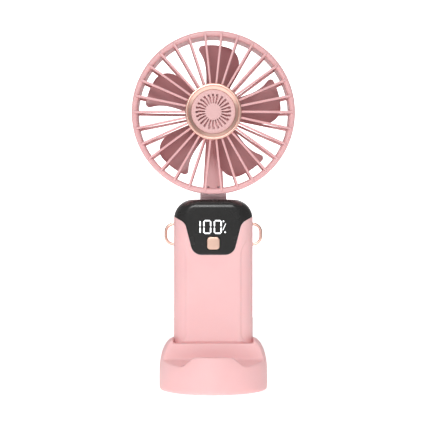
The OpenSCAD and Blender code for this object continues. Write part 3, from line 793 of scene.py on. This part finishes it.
# ------------------------------------------------------------------ handle


@dataclass
class HandleForm:
    """The handle's outer surface: a rounded bar with a raised front panel."""

    half_w: float = side_of("rear_shell", 1, 0)
    face: float = side_of("front_shell", 0, 1)
    back: float = side_of("rear_shell", 1, 1)
    bottom: float = side_of("rear_shell", 0, 2)
    top: float = side_of("rear_shell", 1, 2)
    parting: float = 3.6
    panel_t: float = 0.7
    side_r: float = 9.0
    corner_r: float = 11.0
    front_r: float = 5.0
    rear_r: float = 8.4
    foot_r: float = 1.0
    cover_z: float = 76.8
    panel_z: float = 27.8
    flat_share: float = 0.46
    bend_share: float = 0.86

    @property
    def front(self) -> float:
        """Front of the bar without its raised panel."""
        return self.face + self.panel_t

    @staticmethod
    def rounding(rest: float, radius: float) -> float:
        """How far a quarter round has come in when rest of its height is left."""
        if rest >= radius:
            return 0.0
        return radius - math.sqrt(max(0.0, radius * radius - (radius - rest) ** 2))

    def panel_half(self, z: float) -> float:
        """Half width of the raised panel at a height: it flares at both ends."""
        half_w, foot_flare, foot_h, neck_z, ease_h, slope = 15.5, 2.3, 5.0, 77.0, 6, 0.71
        low = foot_flare * max(0.0, (self.panel_z + foot_h - z) / foot_h) ** 2
        rise = max(0.0, z - neck_z)
        high = slope * rise * rise / (2 * ease_h) if rise < ease_h else slope * (rise - ease_h / 2)
        return half_w + low + high

    def foot(self, z: float) -> float:
        """How far the rounded foot has come in at a height."""
        return self.rounding(z - self.bottom, self.foot_r)

    def half_width(self, z: float) -> float:
        """Half width of the bar at a height, less its rounded top and foot."""
        side = self.rounding(self.top - z, self.corner_r) + self.foot(z)
        return self.half_w - side

    def section(self, share: float, half_w: float, radius: float, depth: float) -> Row:
        """Follow one quarter of the bar's section from its flat face round to the parting line.

        Args:
            share: From 0 at the middle of the face to 1 at the parting line.
            half_w: Half width of the section.
            radius: Radius of the corner.
            depth: Depth from the face to the parting line.

        Returns:
            Distance from the middle, distance in from the face, and 1 on the face to 0 on the side.
        """
        flat, bend = self.flat_share, self.bend_share
        if share < flat:
            return (half_w - radius) * share / flat, 0.0, 1.0
        if share < bend:
            angle = math.pi / 2 * (share - flat) / (bend - flat)
            lean = math.cos(angle)
            return half_w - radius + radius * math.sin(angle), radius - radius * lean, lean
        return half_w, radius + (depth - radius) * (share - bend) / (1 - bend), 0.0

    def point(self, across: float, z: float) -> Vector:
        """Point of the front half of the skin.

        Args:
            across: From -1 at the left parting line over 0 at the front to 1 at the right.
            z: Height.

        Returns:
            The point.
        """
        front = self.front + self.rounding(self.top - z, self.front_r) + self.foot(z)
        half_w = self.half_width(z)
        depth = self.parting - front
        radius = min(self.side_r, depth - 0.1, half_w - 1)
        x, inward, lean = self.section(abs(across), half_w, radius, depth)
        inside = smooth((self.panel_half(z) + 0.35 - x) / 0.8) * smooth((z - self.panel_z + 0.4) / 0.9)
        fade = smooth(self.top - z + 0.2)
        return Vector((math.copysign(x, across), front + inward - self.panel_t * inside * lean * fade, z))

    def rear_point(self, across: float, z: float) -> Vector:
        """Point of the rear half of the skin, with the same arguments as point."""
        back = self.back - self.rounding(self.top - z, self.rear_r) - self.foot(z)
        half_w = self.half_width(z)
        depth = back - self.parting
        radius = max(0.05, min(self.side_r, depth - 0.05, half_w - 1))
        x, inward, _ = self.section(abs(across), half_w, radius, depth)
        return Vector((math.copysign(x, across), back - inward, z))

    @cached_property
    def cover_edge(self) -> list[Point]:
        """Right half of the display cover's lower edge, as x and z with x rising."""
        rows = [(0, self.cover_z, 0), (11.3, self.cover_z, 6), (15.9, 94.6, 6), (24, 99.2, 0)]
        return fillet(rows, 12, closed=False)

    def cover_low(self, x: float) -> float:
        """Height of the cover's lower edge at a distance from the middle."""
        edge = self.cover_edge
        xs = [p[0] for p in edge]
        i = min(max(1, bisect_left(xs, abs(x))), len(xs) - 1)
        (x0, z0), (x1, z1) = edge[i - 1], edge[i]
        return z0 + (z1 - z0) * (abs(x) - x0) / max(1e-6, x1 - x0)


@dataclass
class Handle:
    """The handle's shells, display cover, digits and button."""

    form: HandleForm
    wall: float = 1.6
    seam: float = 0.12
    slot_half_w: float = 8.1
    barrel_reach: float = 6.6
    screw_x: float = 17.0
    recess_r: float = 2.0
    charge_z: float = 74.0
    port_half: Point = (4.9, 1.9)
    columns: int = 170

    def plate(self, point: Callable[[float, float], Vector], z: float, low: float, high: float) -> Mesh:
        """Flat end plate inside a shell's edge.

        Args:
            point: Gives the shell's surface at a place across and a height.
            z: Height of the edge.
            low: Underside of the plate.
            high: Top of the plate.

        Returns:
            The mesh.
        """
        edge = [point(k / 40 - 1, z) for k in range(81)]
        return prism([(p.x, p.y) for p in edge], low, high)

    def about_screw(self, outline: Sequence[Point], x: float, z: float) -> Mesh:
        """Turn an outline of radius and Y about a shell screw's axis at x and z."""
        place = Matrix.Translation((x, 0, z)) @ Matrix.Rotation(-math.pi / 2, 4, "X")
        return turned(revolve(outline, 40), place)

    def front_shell(self) -> None:
        """Front shell: a sheet from the floor up to the cover's edge, given a wall and a floor."""
        form = self.form

        def place(u: float, v: float) -> Vector:
            across = u * 2 - 1
            top = form.cover_low(form.point(across, 60).x) - self.seam
            return form.point(across, form.bottom + (top - form.bottom) * v ** 1.15)

        bm = grid(self.columns, 184, place)
        thicken(bm, self.wall, Vector((0, form.parting, 55)))
        round_edges(bm, 0.18, 2, 60)
        shell = object_of("front_shell_fine", bm)
        carve(shell, self.ring_slots())
        floor = self.plate(form.point, form.bottom, form.bottom, form.bottom + self.wall)
        shell = object_of("front_shell_fine", join([mesh_of(shell), floor]))
        dress(shell, Body.HANDLE, "shell_plastic", ["front_shell"], 40)

    def neck_room(self) -> Mesh:
        """Cutter for the neck's room: round about the hinge, open at the top and the back."""
        hinge, reach, half = joint_mm("head_tilt"), self.barrel_reach, self.slot_half_w
        above, behind = 130, 40
        arc = [(hinge.y - reach * math.cos(a), hinge.z - reach * math.sin(a)) for a in
               [math.pi / 2 * k / 16 for k in range(17)]]
        outline = [(hinge.y - reach, above), *arc, (behind, hinge.z - reach), (behind, above)]
        return turned(prism(outline, -half, half), AXES_YZ)

    def ring_slots(self) -> list[Mesh]:
        """Cutters for the slots in which the rings swing."""
        outline = rounded_box(17.5, -2.7, 27, 2.7, 0.9)
        half_h = 1.15
        return [prism([(x * sign, y + self.form.parting) for x, y in outline], z - half_h, z + half_h)
                for sign in (-1, 1) for z in (LanyardRing.low_z, LanyardRing.high_z)]

    def display_cover(self) -> None:
        """Glossy cover: a sheet from its lower edge over the top to the parting line."""
        form = self.form

        def place(u: float, v: float) -> Vector:
            across = u * 2 - 1
            low = form.cover_low(form.point(across, 90).x) + 0.02
            return form.point(across, form.top - (form.top - low) * (1 - v) ** 2)

        bm = grid(self.columns, 84, place)
        thicken(bm, self.wall, Vector((0, form.parting, 85)))
        round_edges(bm, 0.15, 2, 60, form.top - 3)
        cover = object_of("display_cover_fine", bm)
        h = Button.half + Button.gap
        hole = prism(rounded_box(-h, -h, h, h, Button.corner + Button.gap), 0, 12)
        turned(hole, Matrix.Translation((0, 0, Button.z)) @ AXES_XZ)
        carve(cover, [self.neck_room(), *self.ring_slots(), hole])
        lid = object_of("lid", self.plate(form.point, form.top, form.top - self.wall, form.top))
        carve(lid, [self.neck_room()])
        cover = object_of("display_cover_fine", join([mesh_of(cover), mesh_of(lid)]))
        dress(cover, Body.HANDLE, "black_cover", ["display_cover"], 40)

    def cradle(self) -> Mesh:
        """Block about the hinge, whose ears stand beside the neck."""
        form, hinge = self.form, joint_mm("head_tilt")
        front, low, round_r = hinge.y - 7.8, hinge.z - 8.4, form.rear_r - 0.25
        arc = [(hinge.y + round_r * math.sin(a), hinge.z + round_r * math.cos(a)) for a in
               [math.pi / 2 * k / 14 for k in range(15)]]
        outline = [
            (front, low + 2), (front, hinge.z + round_r), *arc, (hinge.y + round_r, low), (front + 2, low),
        ]
        return turned(prism(outline, -self.slot_half_w - 2, self.slot_half_w + 2), AXES_YZ)

    def rear_shell(self) -> None:
        """Rear shell with the hinge cradle, screw recesses, charge port mouth and ring slots."""
        form = self.form

        def point(across: float, z: float) -> Vector:
            p = form.rear_point(across, z)
            return Vector((p.x, min(p.y + self.seam, form.back), p.z))

        def place(u: float, v: float) -> Vector:
            return point(u * 2 - 1, form.bottom + (form.top - form.bottom) * math.sin(v * math.pi / 2))

        bm = grid(150, 162, place)
        thicken(bm, self.wall, Vector((0, form.parting, 55)))
        round_edges(bm, 0.15, 2, 60, form.top - 3)
        shell = object_of("rear_shell_fine", bm)
        half_w, half_h = self.port_half
        mouth = rounded_box(-half_w, -half_h, half_w, half_h, half_h - 0.05)
        port = turned(prism(mouth, -20, 0), Matrix.Translation((0, 0, self.charge_z)) @ AXES_XZ)
        low, high = box_mm("shell_screws")
        places = [(x, z) for x in (-self.screw_x, self.screw_x) for z in (low.z + 1.8, high.z - 1.8)]
        hole_r = self.recess_r + 0.05
        holes = [self.about_screw([(0, 9), (hole_r, 9), (hole_r, 20), (0, 20)], x, z) for x, z in places]
        carve(shell, [port, *holes, *self.ring_slots(), self.neck_room()])
        block = object_of("cradle", self.cradle())
        carve(block, [self.neck_room()])
        floor = self.plate(point, form.bottom, form.bottom, form.bottom + self.wall)
        parts = [mesh_of(shell), mesh_of(block), floor]
        inner, outer, front = self.recess_r, self.recess_r + 0.7, 4.5
        for x, z in places:
            skin = form.rear_point(0.6, z).y - 2.4
            wall = [(inner, front), (outer, front), (outer, skin), (inner, skin)]
            parts.append(self.about_screw(wall, x, z))
        dress(object_of("rear_shell_fine", join(parts)), Body.HANDLE, "shell_plastic", ["rear_shell"], 40)

    def build(self) -> None:
        """Build every piece of the handle."""
        self.front_shell()
        self.rear_shell()
        self.display_cover()
        Digits(self.form.face).build()
        Button(self.form.face).build()


@dataclass
class Digits:
    """The lit number and its percent mark."""

    face: float
    height: float = 7.9
    width: float = 4.6
    base: float = 88.4
    stroke: float = 0.82
    gap: float = 0.14
    proud: float = 0.04
    depth: float = 0.3

    def bar(self, a: Vector, b: Vector) -> list[Point]:
        """Outline of one slim bar with pointed ends."""
        along = (b - a).normalized()
        half = Vector((-along.y, along.x)) * self.stroke / 2
        p, q = a + along * self.gap, b - along * self.gap
        tip = along * self.stroke / 2
        return [tuple(v) for v in (p, p + tip - half, q - tip - half, q, q - tip + half, p + tip + half)]

    def digit(self, left: float, lit: Sequence[int]) -> list[list[Point]]:
        """Outlines of a digit's lit bars.

        Args:
            left: Left side of the digit.
            lit: Which of the seven bars are lit.

        Returns:
            One outline for each bar.
        """
        w, h = self.width - self.stroke, (self.height - self.stroke) / 2
        corner = Vector((left + self.stroke / 2, self.base + self.stroke / 2))
        ends = [((0, 2 * h), (w, 2 * h)), ((w, h), (w, 2 * h)), ((w, 0), (w, h)), ((0, 0), (w, 0)),
                ((0, 0), (0, h)), ((0, h), (0, 2 * h)), ((0, h), (w, h))]
        return [self.bar(corner + Vector(ends[i][0]), corner + Vector(ends[i][1])) for i in lit]

    def percent(self) -> list[list[Point]]:
        """Outlines of the small percent mark: two dots and a slanted bar."""
        dots = [circle(x, z, 0.5, 16) for x, z in ((5.7, 95.5), (6.6, 89.4))]
        turn = Matrix.Rotation(math.radians(66), 2)
        slash = [Vector((6.15, 92.4)) + turn @ Vector(c) for c in
                 ((-2.1, -0.22), (2.1, -0.22), (2.1, 0.22), (-2.1, 0.22))]
        return [*dots, [tuple(v) for v in slash]]

    def build(self) -> None:
        """Build the digits as one lit piece."""
        outlines = self.digit(-8.2 - self.width + 1.2, [1, 2])
        for left in (-5.7, 0.2):
            outlines += self.digit(left, range(6))
        outlines += self.percent()
        bars = []
        for outline in outlines:
            bm = prism(outline, 0, self.depth)
            round_edges(bm, 0.05, 1, 60)
            bars.append(bm)
        bm = turned(join(bars), AXES_XZ)
        turned(bm, Matrix.Translation((0, self.face - self.proud + self.depth, 0)))
        dress(object_of("digits_lit", bm), Body.HANDLE, "lit_digits", ["display_digits"])


@dataclass
class Button:
    """The rounded square button, softly crowned."""

    face: float
    half: float = 3.6
    z: float = 83.2
    corner: float = 2.0
    gap: float = 0.25
    proud: float = 0.8
    depth: float = 3.4

    def build(self) -> None:
        """Build the cap."""
        h = self.half
        bm = prism(rounded_box(-h, -h, h, h, self.corner), 0, self.depth)
        top = max(bm.faces, key=lambda f: f.calc_center_median().z)
        bevel(bm, list(top.edges), 0.55, 5)
        top = max(bm.faces, key=lambda f: (f.calc_center_median().z, f.calc_area()))
        bmesh.ops.inset_region(bm, faces=[top], thickness=0.9, depth=0.05)
        turned(bm, Matrix.Translation((0, self.face - self.proud + self.depth, self.z)) @ AXES_XZ)
        dress(object_of("button_cap_fine", bm), Body.BUTTON, "rose_gold_satin", ["button_cap"], 40)


# ------------------------------------------------------------------ lanyard rings


@dataclass
class LanyardRing:
    """A D-shaped loop of round wire with its bar inside the handle."""

    sign: int
    wire_r: float = 0.9
    bar_x: float = 19.6
    out_x: float = 27.0
    low_z: float = 82.4
    high_z: float = 93.9
    bend_r: float = 4.4
    y: float = 3.6

    def build(self) -> None:
        """Sweep the wire's round section round the loop."""
        rows = [
            (self.bar_x, self.low_z, 0.95), (self.out_x, self.low_z, self.bend_r),
            (self.out_x, self.high_z, self.bend_r), (self.bar_x, self.high_z, 0.95),
        ]
        path = [Vector((x * self.sign, self.y, z)) for x, z in fillet(rows, 12)]
        section = circle(0, 0, self.wire_r, 20)
        bm = bmesh.new()
        rings = []
        for i, here in enumerate(path):
            along = (path[(i + 1) % len(path)] - path[i - 1]).normalized()
            out = Vector((0, 1, 0)).cross(along)
            geom = loop(bm, [here + Vector((0, 1, 0)) * a + out * b for a, b in section])
            rings.append([e for e in geom if isinstance(e, bmesh.types.BMEdge)])
        for a, b in zip(rings, rings[1:] + rings[:1]):
            bmesh.ops.bridge_loops(bm, edges=[*a, *b])
        face_outward(bm)
        body, node = (Body.RIGHT_RING, "right_ring") if self.sign > 0 else (Body.LEFT_RING, "left_ring")
        dress(object_of(node + "_fine", bm), body, "rose_gold", [node])


# ------------------------------------------------------------------ head


@dataclass
class HeadForm:
    """Shared sizes of the head. Its own frame has w to the front and w = 0 at the parting plane."""

    centre: Vector = field(default_factory=lambda: joint_mm("fan_spin"))
    radius: float = 46.0
    rim_t: float = 3.4
    rim_front: float = 11.0
    rim_back: float = -9.0
    hub_r: float = 15.75
    hub_front: float = 17.0
    cap_r: float = 12.4
    cup_r: float = 15.0
    cup_back: float = -17.0
    cup_wall: float = 1.8
    ribs: int = 30
    rib_w: float = 1.25
    rib_t: float = 2.6
    rib_round: float = 0.42

    def put(self, bm: Mesh) -> Mesh:
        """Move a mesh drawn about the fan's axis into place."""
        return turned(bm, Matrix.Translation(self.centre) @ AXES_XZ)

    def front_edge(self, r: float) -> float:
        """Front edge of the front ribs at a radius."""
        return self.rim_front + 0.35 + 3.6 * (1 - ((r - self.cap_r) / (self.radius - self.cap_r)) ** 2)

    def rear_edge(self, r: float) -> float:
        """Rear edge of the rear ribs at a radius."""
        return self.cup_back + 2.8 + 5.4 * ((r - self.cup_r) / (self.radius - self.cup_r)) ** 2

    def star(self, start: float, end: float, edge: Callable[[float], float], depth: float,
             skip: Sequence[int] = ()) -> Mesh:
        """A star of rounded ribs.

        Args:
            start: Inner radius.
            end: Outer radius.
            edge: Gives the outer edge's w at a radius.
            depth: Depth of a rib, signed towards the inside.
            skip: Ribs that are left out.

        Returns:
            The mesh of all the ribs.
        """
        bm = long_cube(9)
        lengthwise = [e for e in bm.edges if abs(e.verts[0].co.x - e.verts[1].co.x) > 0.01]
        outer = [e for e in lengthwise if all(v.co.z > 0.4 and abs(v.co.y) > 0.4 for v in e.verts)]
        inner = [e for e in lengthwise if all(v.co.z < -0.4 and abs(v.co.y) > 0.4 for v in e.verts)]
        end_edges = [e for e in bm.edges if all(v.co.x > 0.49 for v in e.verts)]
        for v in bm.verts:
            share = v.co.x + 0.5
            r = start + (end - start) * share
            height = edge(r) + depth * (0.5 - v.co.z)
            v.co = Vector((r, v.co.y * self.rib_w * (0.92 + 0.12 * share), height))
        bevel(bm, [*outer, *end_edges, *inner], self.rib_round, 3)
        rib = bpy.data.meshes.new("rib")
        bm.to_mesh(rib)
        bm.free()
        whole = bmesh.new()
        for i in range(self.ribs):
            if i not in skip:
                before = len(whole.verts)
                whole.from_mesh(rib)
                whole.verts.ensure_lookup_table()
                bmesh.ops.rotate(whole, verts=whole.verts[before:], cent=(0, 0, 0),
                                 matrix=Matrix.Rotation(2 * math.pi * i / self.ribs, 3, "Z"))
        bpy.data.meshes.remove(rib)
        face_outward(whole)
        return whole


@dataclass
class FrontGrille:
    """Front rim with ribs and hub seat, the plated hub ring and the slotted cap."""

    form: HeadForm
    slots: int = 24
    slot_in: float = 4.6
    slot_out: float = 9.9
    cap_z: float = 15.3
    cap_drop: float = 0.3

    def grille(self) -> None:
        """Rim, ribs and hub seat."""
        f = self.form
        rim = revolve(fillet([
            (f.radius - f.rim_t, 0.1, 0.4), (f.radius, 0.1, 0.25),
            (f.radius, f.rim_front, 1.65), (f.radius - f.rim_t, f.rim_front, 1.65)], 8), 180)
        seat = revolve(fillet([
            (0, 10.4, 0), (f.hub_r - 0.5, 10.4, 0.3), (f.hub_r - 0.5, 13.7, 0.3),
            (f.cap_r + 0.1, 13.7, 0.1), (f.cap_r + 0.1, 13.3, 0.1), (0, 13.3, 0)], 4), 120)
        ribs = f.star(f.hub_r - 2, f.radius - 1.3, f.front_edge, -f.rib_t)
        bm = f.put(join([rim, seat, ribs]))
        nodes = ["front_rim", "front_ribs", "hub_seat"]
        dress(object_of("front_grille_fine", bm), Body.HEAD, "grille_plastic", nodes, 50)

    def ring(self) -> None:
        """Plated ring round the hub: a polished band and an inner slope."""
        f = self.form
        bm = revolve(fillet([
            (f.cap_r + 0.1, 13.65, 0), (f.hub_r, 13.65, 0.3), (f.hub_r, f.hub_front - 0.1, 0.8),
            (f.hub_r - 1.15, f.hub_front, 0.4), (f.hub_r - 1.6, f.hub_front - 0.7, 0.3),
            (f.cap_r + 0.1, f.hub_front - 1.6, 0.15)], 8), 180)
        dress(object_of("hub_ring_fine", f.put(bm)), Body.HEAD, "rose_gold", ["hub_ring"], 50)

    def cap(self) -> None:
        """Cap with a star of slots, slightly dished."""
        f = self.form
        radii = [0.0, 2.2, self.slot_in, 5.9, 7.2, 8.5, self.slot_out, 11.2, f.cap_r - 0.35, f.cap_r]
        line = [(r, self.cap_z - (self.cap_drop if r >= f.cap_r else 0)) for r in radii]
        bm = spun(line, self.slots * 6, 1e-7, closed=False)
        pitch = 2 * math.pi / self.slots
        gone = []
        for face in bm.faces:
            c = face.calc_center_median()
            off = (math.atan2(c.y, c.x) / pitch + 0.5) % 1 - 0.5
            if self.slot_in < c.xy.length < self.slot_out and abs(off) < 0.25:
                gone.append(face)
        bmesh.ops.delete(bm, geom=gone, context="FACES")
        thicken(bm, 1.3, Vector((0, 0, 0)))
        round_edges(bm, 0.05, 1, 60)
        dress(object_of("hub_cap_fine", f.put(bm)), Body.HEAD, "cap_plastic", ["hub_cap"], 50)

    def build(self) -> None:
        """Build the three pieces."""
        self.grille()
        self.ring()
        self.cap()


@dataclass
class RearCover:
    """Rear rim and ribs with the motor cup and the spine down to the neck."""

    form: HeadForm
    spine_top_w: float = 8.5
    spine_low_w: float = 12.0

    def spine(self) -> Mesh:
        """The spine: a tapering, domed channel from the cup to the rim."""
        f = self.form
        start, end = f.cup_r - 1.5, f.radius - 2.2
        bm = long_cube(14)
        for v in bm.verts:
            share = v.co.x + 0.5
            r = start + (end - start) * share
            width = self.spine_top_w + (self.spine_low_w - self.spine_top_w) * share
            v.co = Vector((r, v.co.y * width, f.rear_edge(r) - 0.3 + 5.2 * (0.5 + v.co.z)))
        round_edges(bm, 0.9, 4, 40)
        return turned(bm, Matrix.Rotation(-math.pi / 2, 4, "Z"))

    def build(self) -> None:
        """Build the cover as one piece."""
        f = self.form
        rim = revolve(fillet([
            (f.radius - f.rim_t, -0.1, 0.3), (f.radius - f.rim_t, f.rim_back, 0.7),
            (f.radius - 0.6, f.rim_back, 1.9), (f.radius, -0.1, 0.3)], 8), 180)
        cup = revolve(fillet([
            (0, f.cup_back, 0), (f.cup_r, f.cup_back, 2.5), (f.cup_r, -6, 0.5),
            (f.cup_r - f.cup_wall, -6, 0.5), (f.cup_r - f.cup_wall, f.cup_back + f.cup_wall, 1),
            (0, f.cup_back + f.cup_wall, 0)], 8), 140)
        ribs = f.star(f.cup_r - 1, f.radius - 2.0, f.rear_edge, f.rib_t, skip=(22, 23))
        bm = f.put(join([rim, cup, ribs, self.spine()]))
        nodes = ["rear_rim", "rear_ribs", "motor_cup"]
        dress(object_of("rear_cover_fine", bm), Body.HEAD, "grille_plastic", nodes, 50)


@dataclass
class Neck:
    """Neck with its hinge barrel, softened from the node's own shape."""

    voxel_mm: float = 0.22

    def build(self) -> None:
        """Build the neck."""
        neck = copy_of("neck_arm", "neck_arm_fine")
        remesh(neck, self.voxel_mm, 4)
        # The neck wears a paler copy of the grille pink: painted light against the shadow under the rim.
        dress(neck, Body.HEAD, "grille_plastic", ["neck_arm"], 60, "neck_painted_light")


# ------------------------------------------------------------------ rotor


@dataclass
class Rotor:
    """Impeller: a hub cup with swept, twisted and cambered blades."""

    form: HeadForm
    blades: int = 5
    root_r: float = 13.0
    tip_r: float = 38.6
    phase: float = 84.0
    thickness: float = 1.3
    hub_r: float = 14.2

    def corner(self, r: float, start: float, turn: float) -> float:
        """How much a rounded tip corner takes off an edge, in degrees."""
        if r <= start:
            return 0.0
        return turn * (1 - math.sqrt(max(0.0, 1 - ((r - start) / (self.tip_r - start)) ** 2)))

    def leading(self, r: float) -> float:
        """Angle of the leading edge at a radius, in degrees."""
        return 59.3 + 0.02 * (r - 20) ** 2 + self.corner(r, 30, 11)

    def trailing(self, r: float) -> float:
        """Angle of the trailing edge at a radius, in degrees."""
        return 99.1 + 0.043 * (r - 26.5) ** 2 - self.corner(r, 34.6, 6)

    def place(self, u: float, v: float) -> Vector:
        """Point of a blade's middle surface: u along the blade, v from leading to trailing edge."""
        r = self.root_r + (self.tip_r - self.root_r) * math.sin(math.pi / 2 * u)
        start, end = self.leading(r), self.trailing(r)
        angle = math.radians(start + (end - start) * v)
        centre = math.radians(self.phase - 3)
        pitch = math.radians(34 - 12 * (r - self.root_r) / (self.tip_r - self.root_r))
        across = r * math.sin(angle - centre)
        camber = 1.3 * (1 - (2 * v - 1) ** 2)
        return Vector((r * math.cos(angle), r * math.sin(angle), across * math.tan(pitch) + camber - 0.8))

    def build(self) -> None:
        """Build the impeller."""
        parts = []
        for i in range(self.blades):
            bm = grid(30, 22, self.place)
            face_outward(bm)
            bmesh.ops.solidify(bm, geom=bm.faces[:], thickness=self.thickness)
            face_outward(bm)
            round_edges(bm, 0.4, 3, 50)
            parts.append(turned(bm, Matrix.Rotation(2 * math.pi * i / self.blades, 4, "Z")))
        h = self.hub_r
        parts.append(revolve(fillet([
            (1, 8.8, 0), (h, 8.8, 1.5), (h, -5.4, 0.3),
            (h - 1.2, -5.4, 0.3), (h - 1.2, 7.4, 0.5), (1, 7.4, 0)], 8), 120))
        bm = self.form.put(join(parts))
        dress(object_of("impeller_fine", bm), Body.ROTOR, "blade_plastic", ["impeller"], 45)


# ------------------------------------------------------------------ carried pieces and studio


def dress_nodes() -> None:
    """Give every node that is still shown its finish."""
    slots = {row["node"]: row["material_slot"] for row in frame["record"]["subparts"]}
    for name, node in sorted(frame["nodes"].items()):
        if not node.hide_render:
            node.data.materials.clear()
            node.data.materials.append(MATERIALS[slots[name]])
            LOG.info("%s: carried over as %s", name, slots[name])


@dataclass(frozen=True)
class Lamp:
    """A soft rectangular light: its place and size in metres, and its power in watts."""

    name: str
    place: Row
    size: Point
    power: float


@dataclass
class Studio:
    """Pale floor, soft lights and the camera."""

    lamps: tuple[Lamp, ...] = (
        Lamp("front_soft", (-0.18, -1.15, 0.75), (0.6, 0.5), 8.8),
        Lamp("left_rim", (-0.75, 0.5, 0.3), (0.3, 0.9), 0.2),
        Lamp("top_soft", (0.0, 0.1, 1.0), (0.8, 0.8), 2.6),
    )
    aim_z: float = 0.1
    distance: float = 0.790
    eye_z: float = 0.0999
    lens: float = 117.5
    floor_half: float = 0.55
    back_from: float = 0.75
    back_to: float = 0.93
    around: float = 0.26
    behind: float = 1.02
    floor_glow: float = 0.6
    eye_x: float = 0.0001
    sight: float = 20.0

    def floor(self) -> None:
        """A wide, plain, pale floor."""
        bm = bmesh.new()
        bmesh.ops.create_grid(bm, x_segments=8, y_segments=8, size=self.floor_half / MM)
        floor = object_of("floor", bm)
        graph = Graph("floor_paper")
        cloud = graph.spread(graph.noise(900, 2), 0, 1)
        colour = graph.mix(cloud, (0.93, 0.93, 0.93), (0.91, 0.91, 0.91))
        rough = graph.spread(graph.noise(60, 2), 0.7, 0.8)
        floor.data.materials.append(graph.close({
            "Base Color": colour, "Roughness": rough,
            "Emission Color": (1, 1, 1, 1), "Emission Strength": self.floor_glow,
        }))

    def light(self, lamp: Lamp) -> None:
        """Add a soft rectangular light aimed at the middle of the fan."""
        data = bpy.data.lights.new(lamp.name, "AREA")
        data.shape = "RECTANGLE"
        data.size, data.size_y = lamp.size
        data.energy = lamp.power
        light = bpy.data.objects.new(lamp.name, data)
        light.location = lamp.place
        towards = Vector((0, 0, self.aim_z)) - Vector(lamp.place)
        light.rotation_euler = towards.to_track_quat("-Z", "Y").to_euler()
        bpy.context.scene.collection.objects.link(light)

    def world(self) -> None:
        """White surroundings behind the fan, dimmer ones elsewhere."""
        world = bpy.data.worlds.new("surroundings")
        world.use_nodes = True
        tree = world.node_tree
        background = tree.nodes["Background"]
        background.inputs["Color"].default_value = (1, 0.96, 0.965, 1)
        place = tree.nodes.new("ShaderNodeTexCoord")
        split = tree.nodes.new("ShaderNodeSeparateXYZ")
        ease = tree.nodes.new("ShaderNodeMapRange")
        ease.interpolation_type = "SMOOTHSTEP"
        for name, value in (("From Min", self.back_from), ("From Max", self.back_to),
                            ("To Min", self.around), ("To Max", self.behind)):
            ease.inputs[name].default_value = value
        tree.links.new(place.outputs["Generated"], split.inputs[0])
        tree.links.new(split.outputs["Y"], ease.inputs["Value"])
        seen = tree.nodes.new("ShaderNodeLightPath")
        whiter = tree.nodes.new("ShaderNodeMath")
        whiter.operation = "ADD"
        tree.links.new(ease.outputs["Result"], whiter.inputs[0])
        tree.links.new(seen.outputs["Is Camera Ray"], whiter.inputs[1])
        tree.links.new(whiter.outputs[0], background.inputs["Strength"])
        bpy.context.scene.world = world

    def camera(self) -> None:
        """Camera level with the middle of the fan."""
        data = bpy.data.cameras.new("camera")
        data.lens = self.lens
        data.clip_end = self.sight
        camera = bpy.data.objects.new("camera", data)
        camera.location = (self.eye_x, -self.distance, self.eye_z)
        camera.rotation_euler = (math.pi / 2, 0, 0)
        bpy.context.scene.collection.objects.link(camera)
        bpy.context.scene.camera = camera

    def build(self) -> None:
        """Set the whole studio."""
        self.camera()
        self.world()
        self.floor()
        for lamp in self.lamps:
            self.light(lamp)
        bpy.context.scene.view_settings.view_transform = "Standard"


def main() -> None:
    """Build every sub-assembly in order."""
    logging.basicConfig(level=logging.INFO, format="%(name)s %(message)s")
    Studio().build()
    form = HandleForm()
    Stand().build(form)
    Handle(form).build()
    for sign in (-1, 1):
        LanyardRing(sign).build()
    head = HeadForm()
    RearCover(head).build()
    FrontGrille(head).build()
    Neck().build()
    Rotor(head).build()
    dress_nodes()


if __name__ == "__main__":
    main()
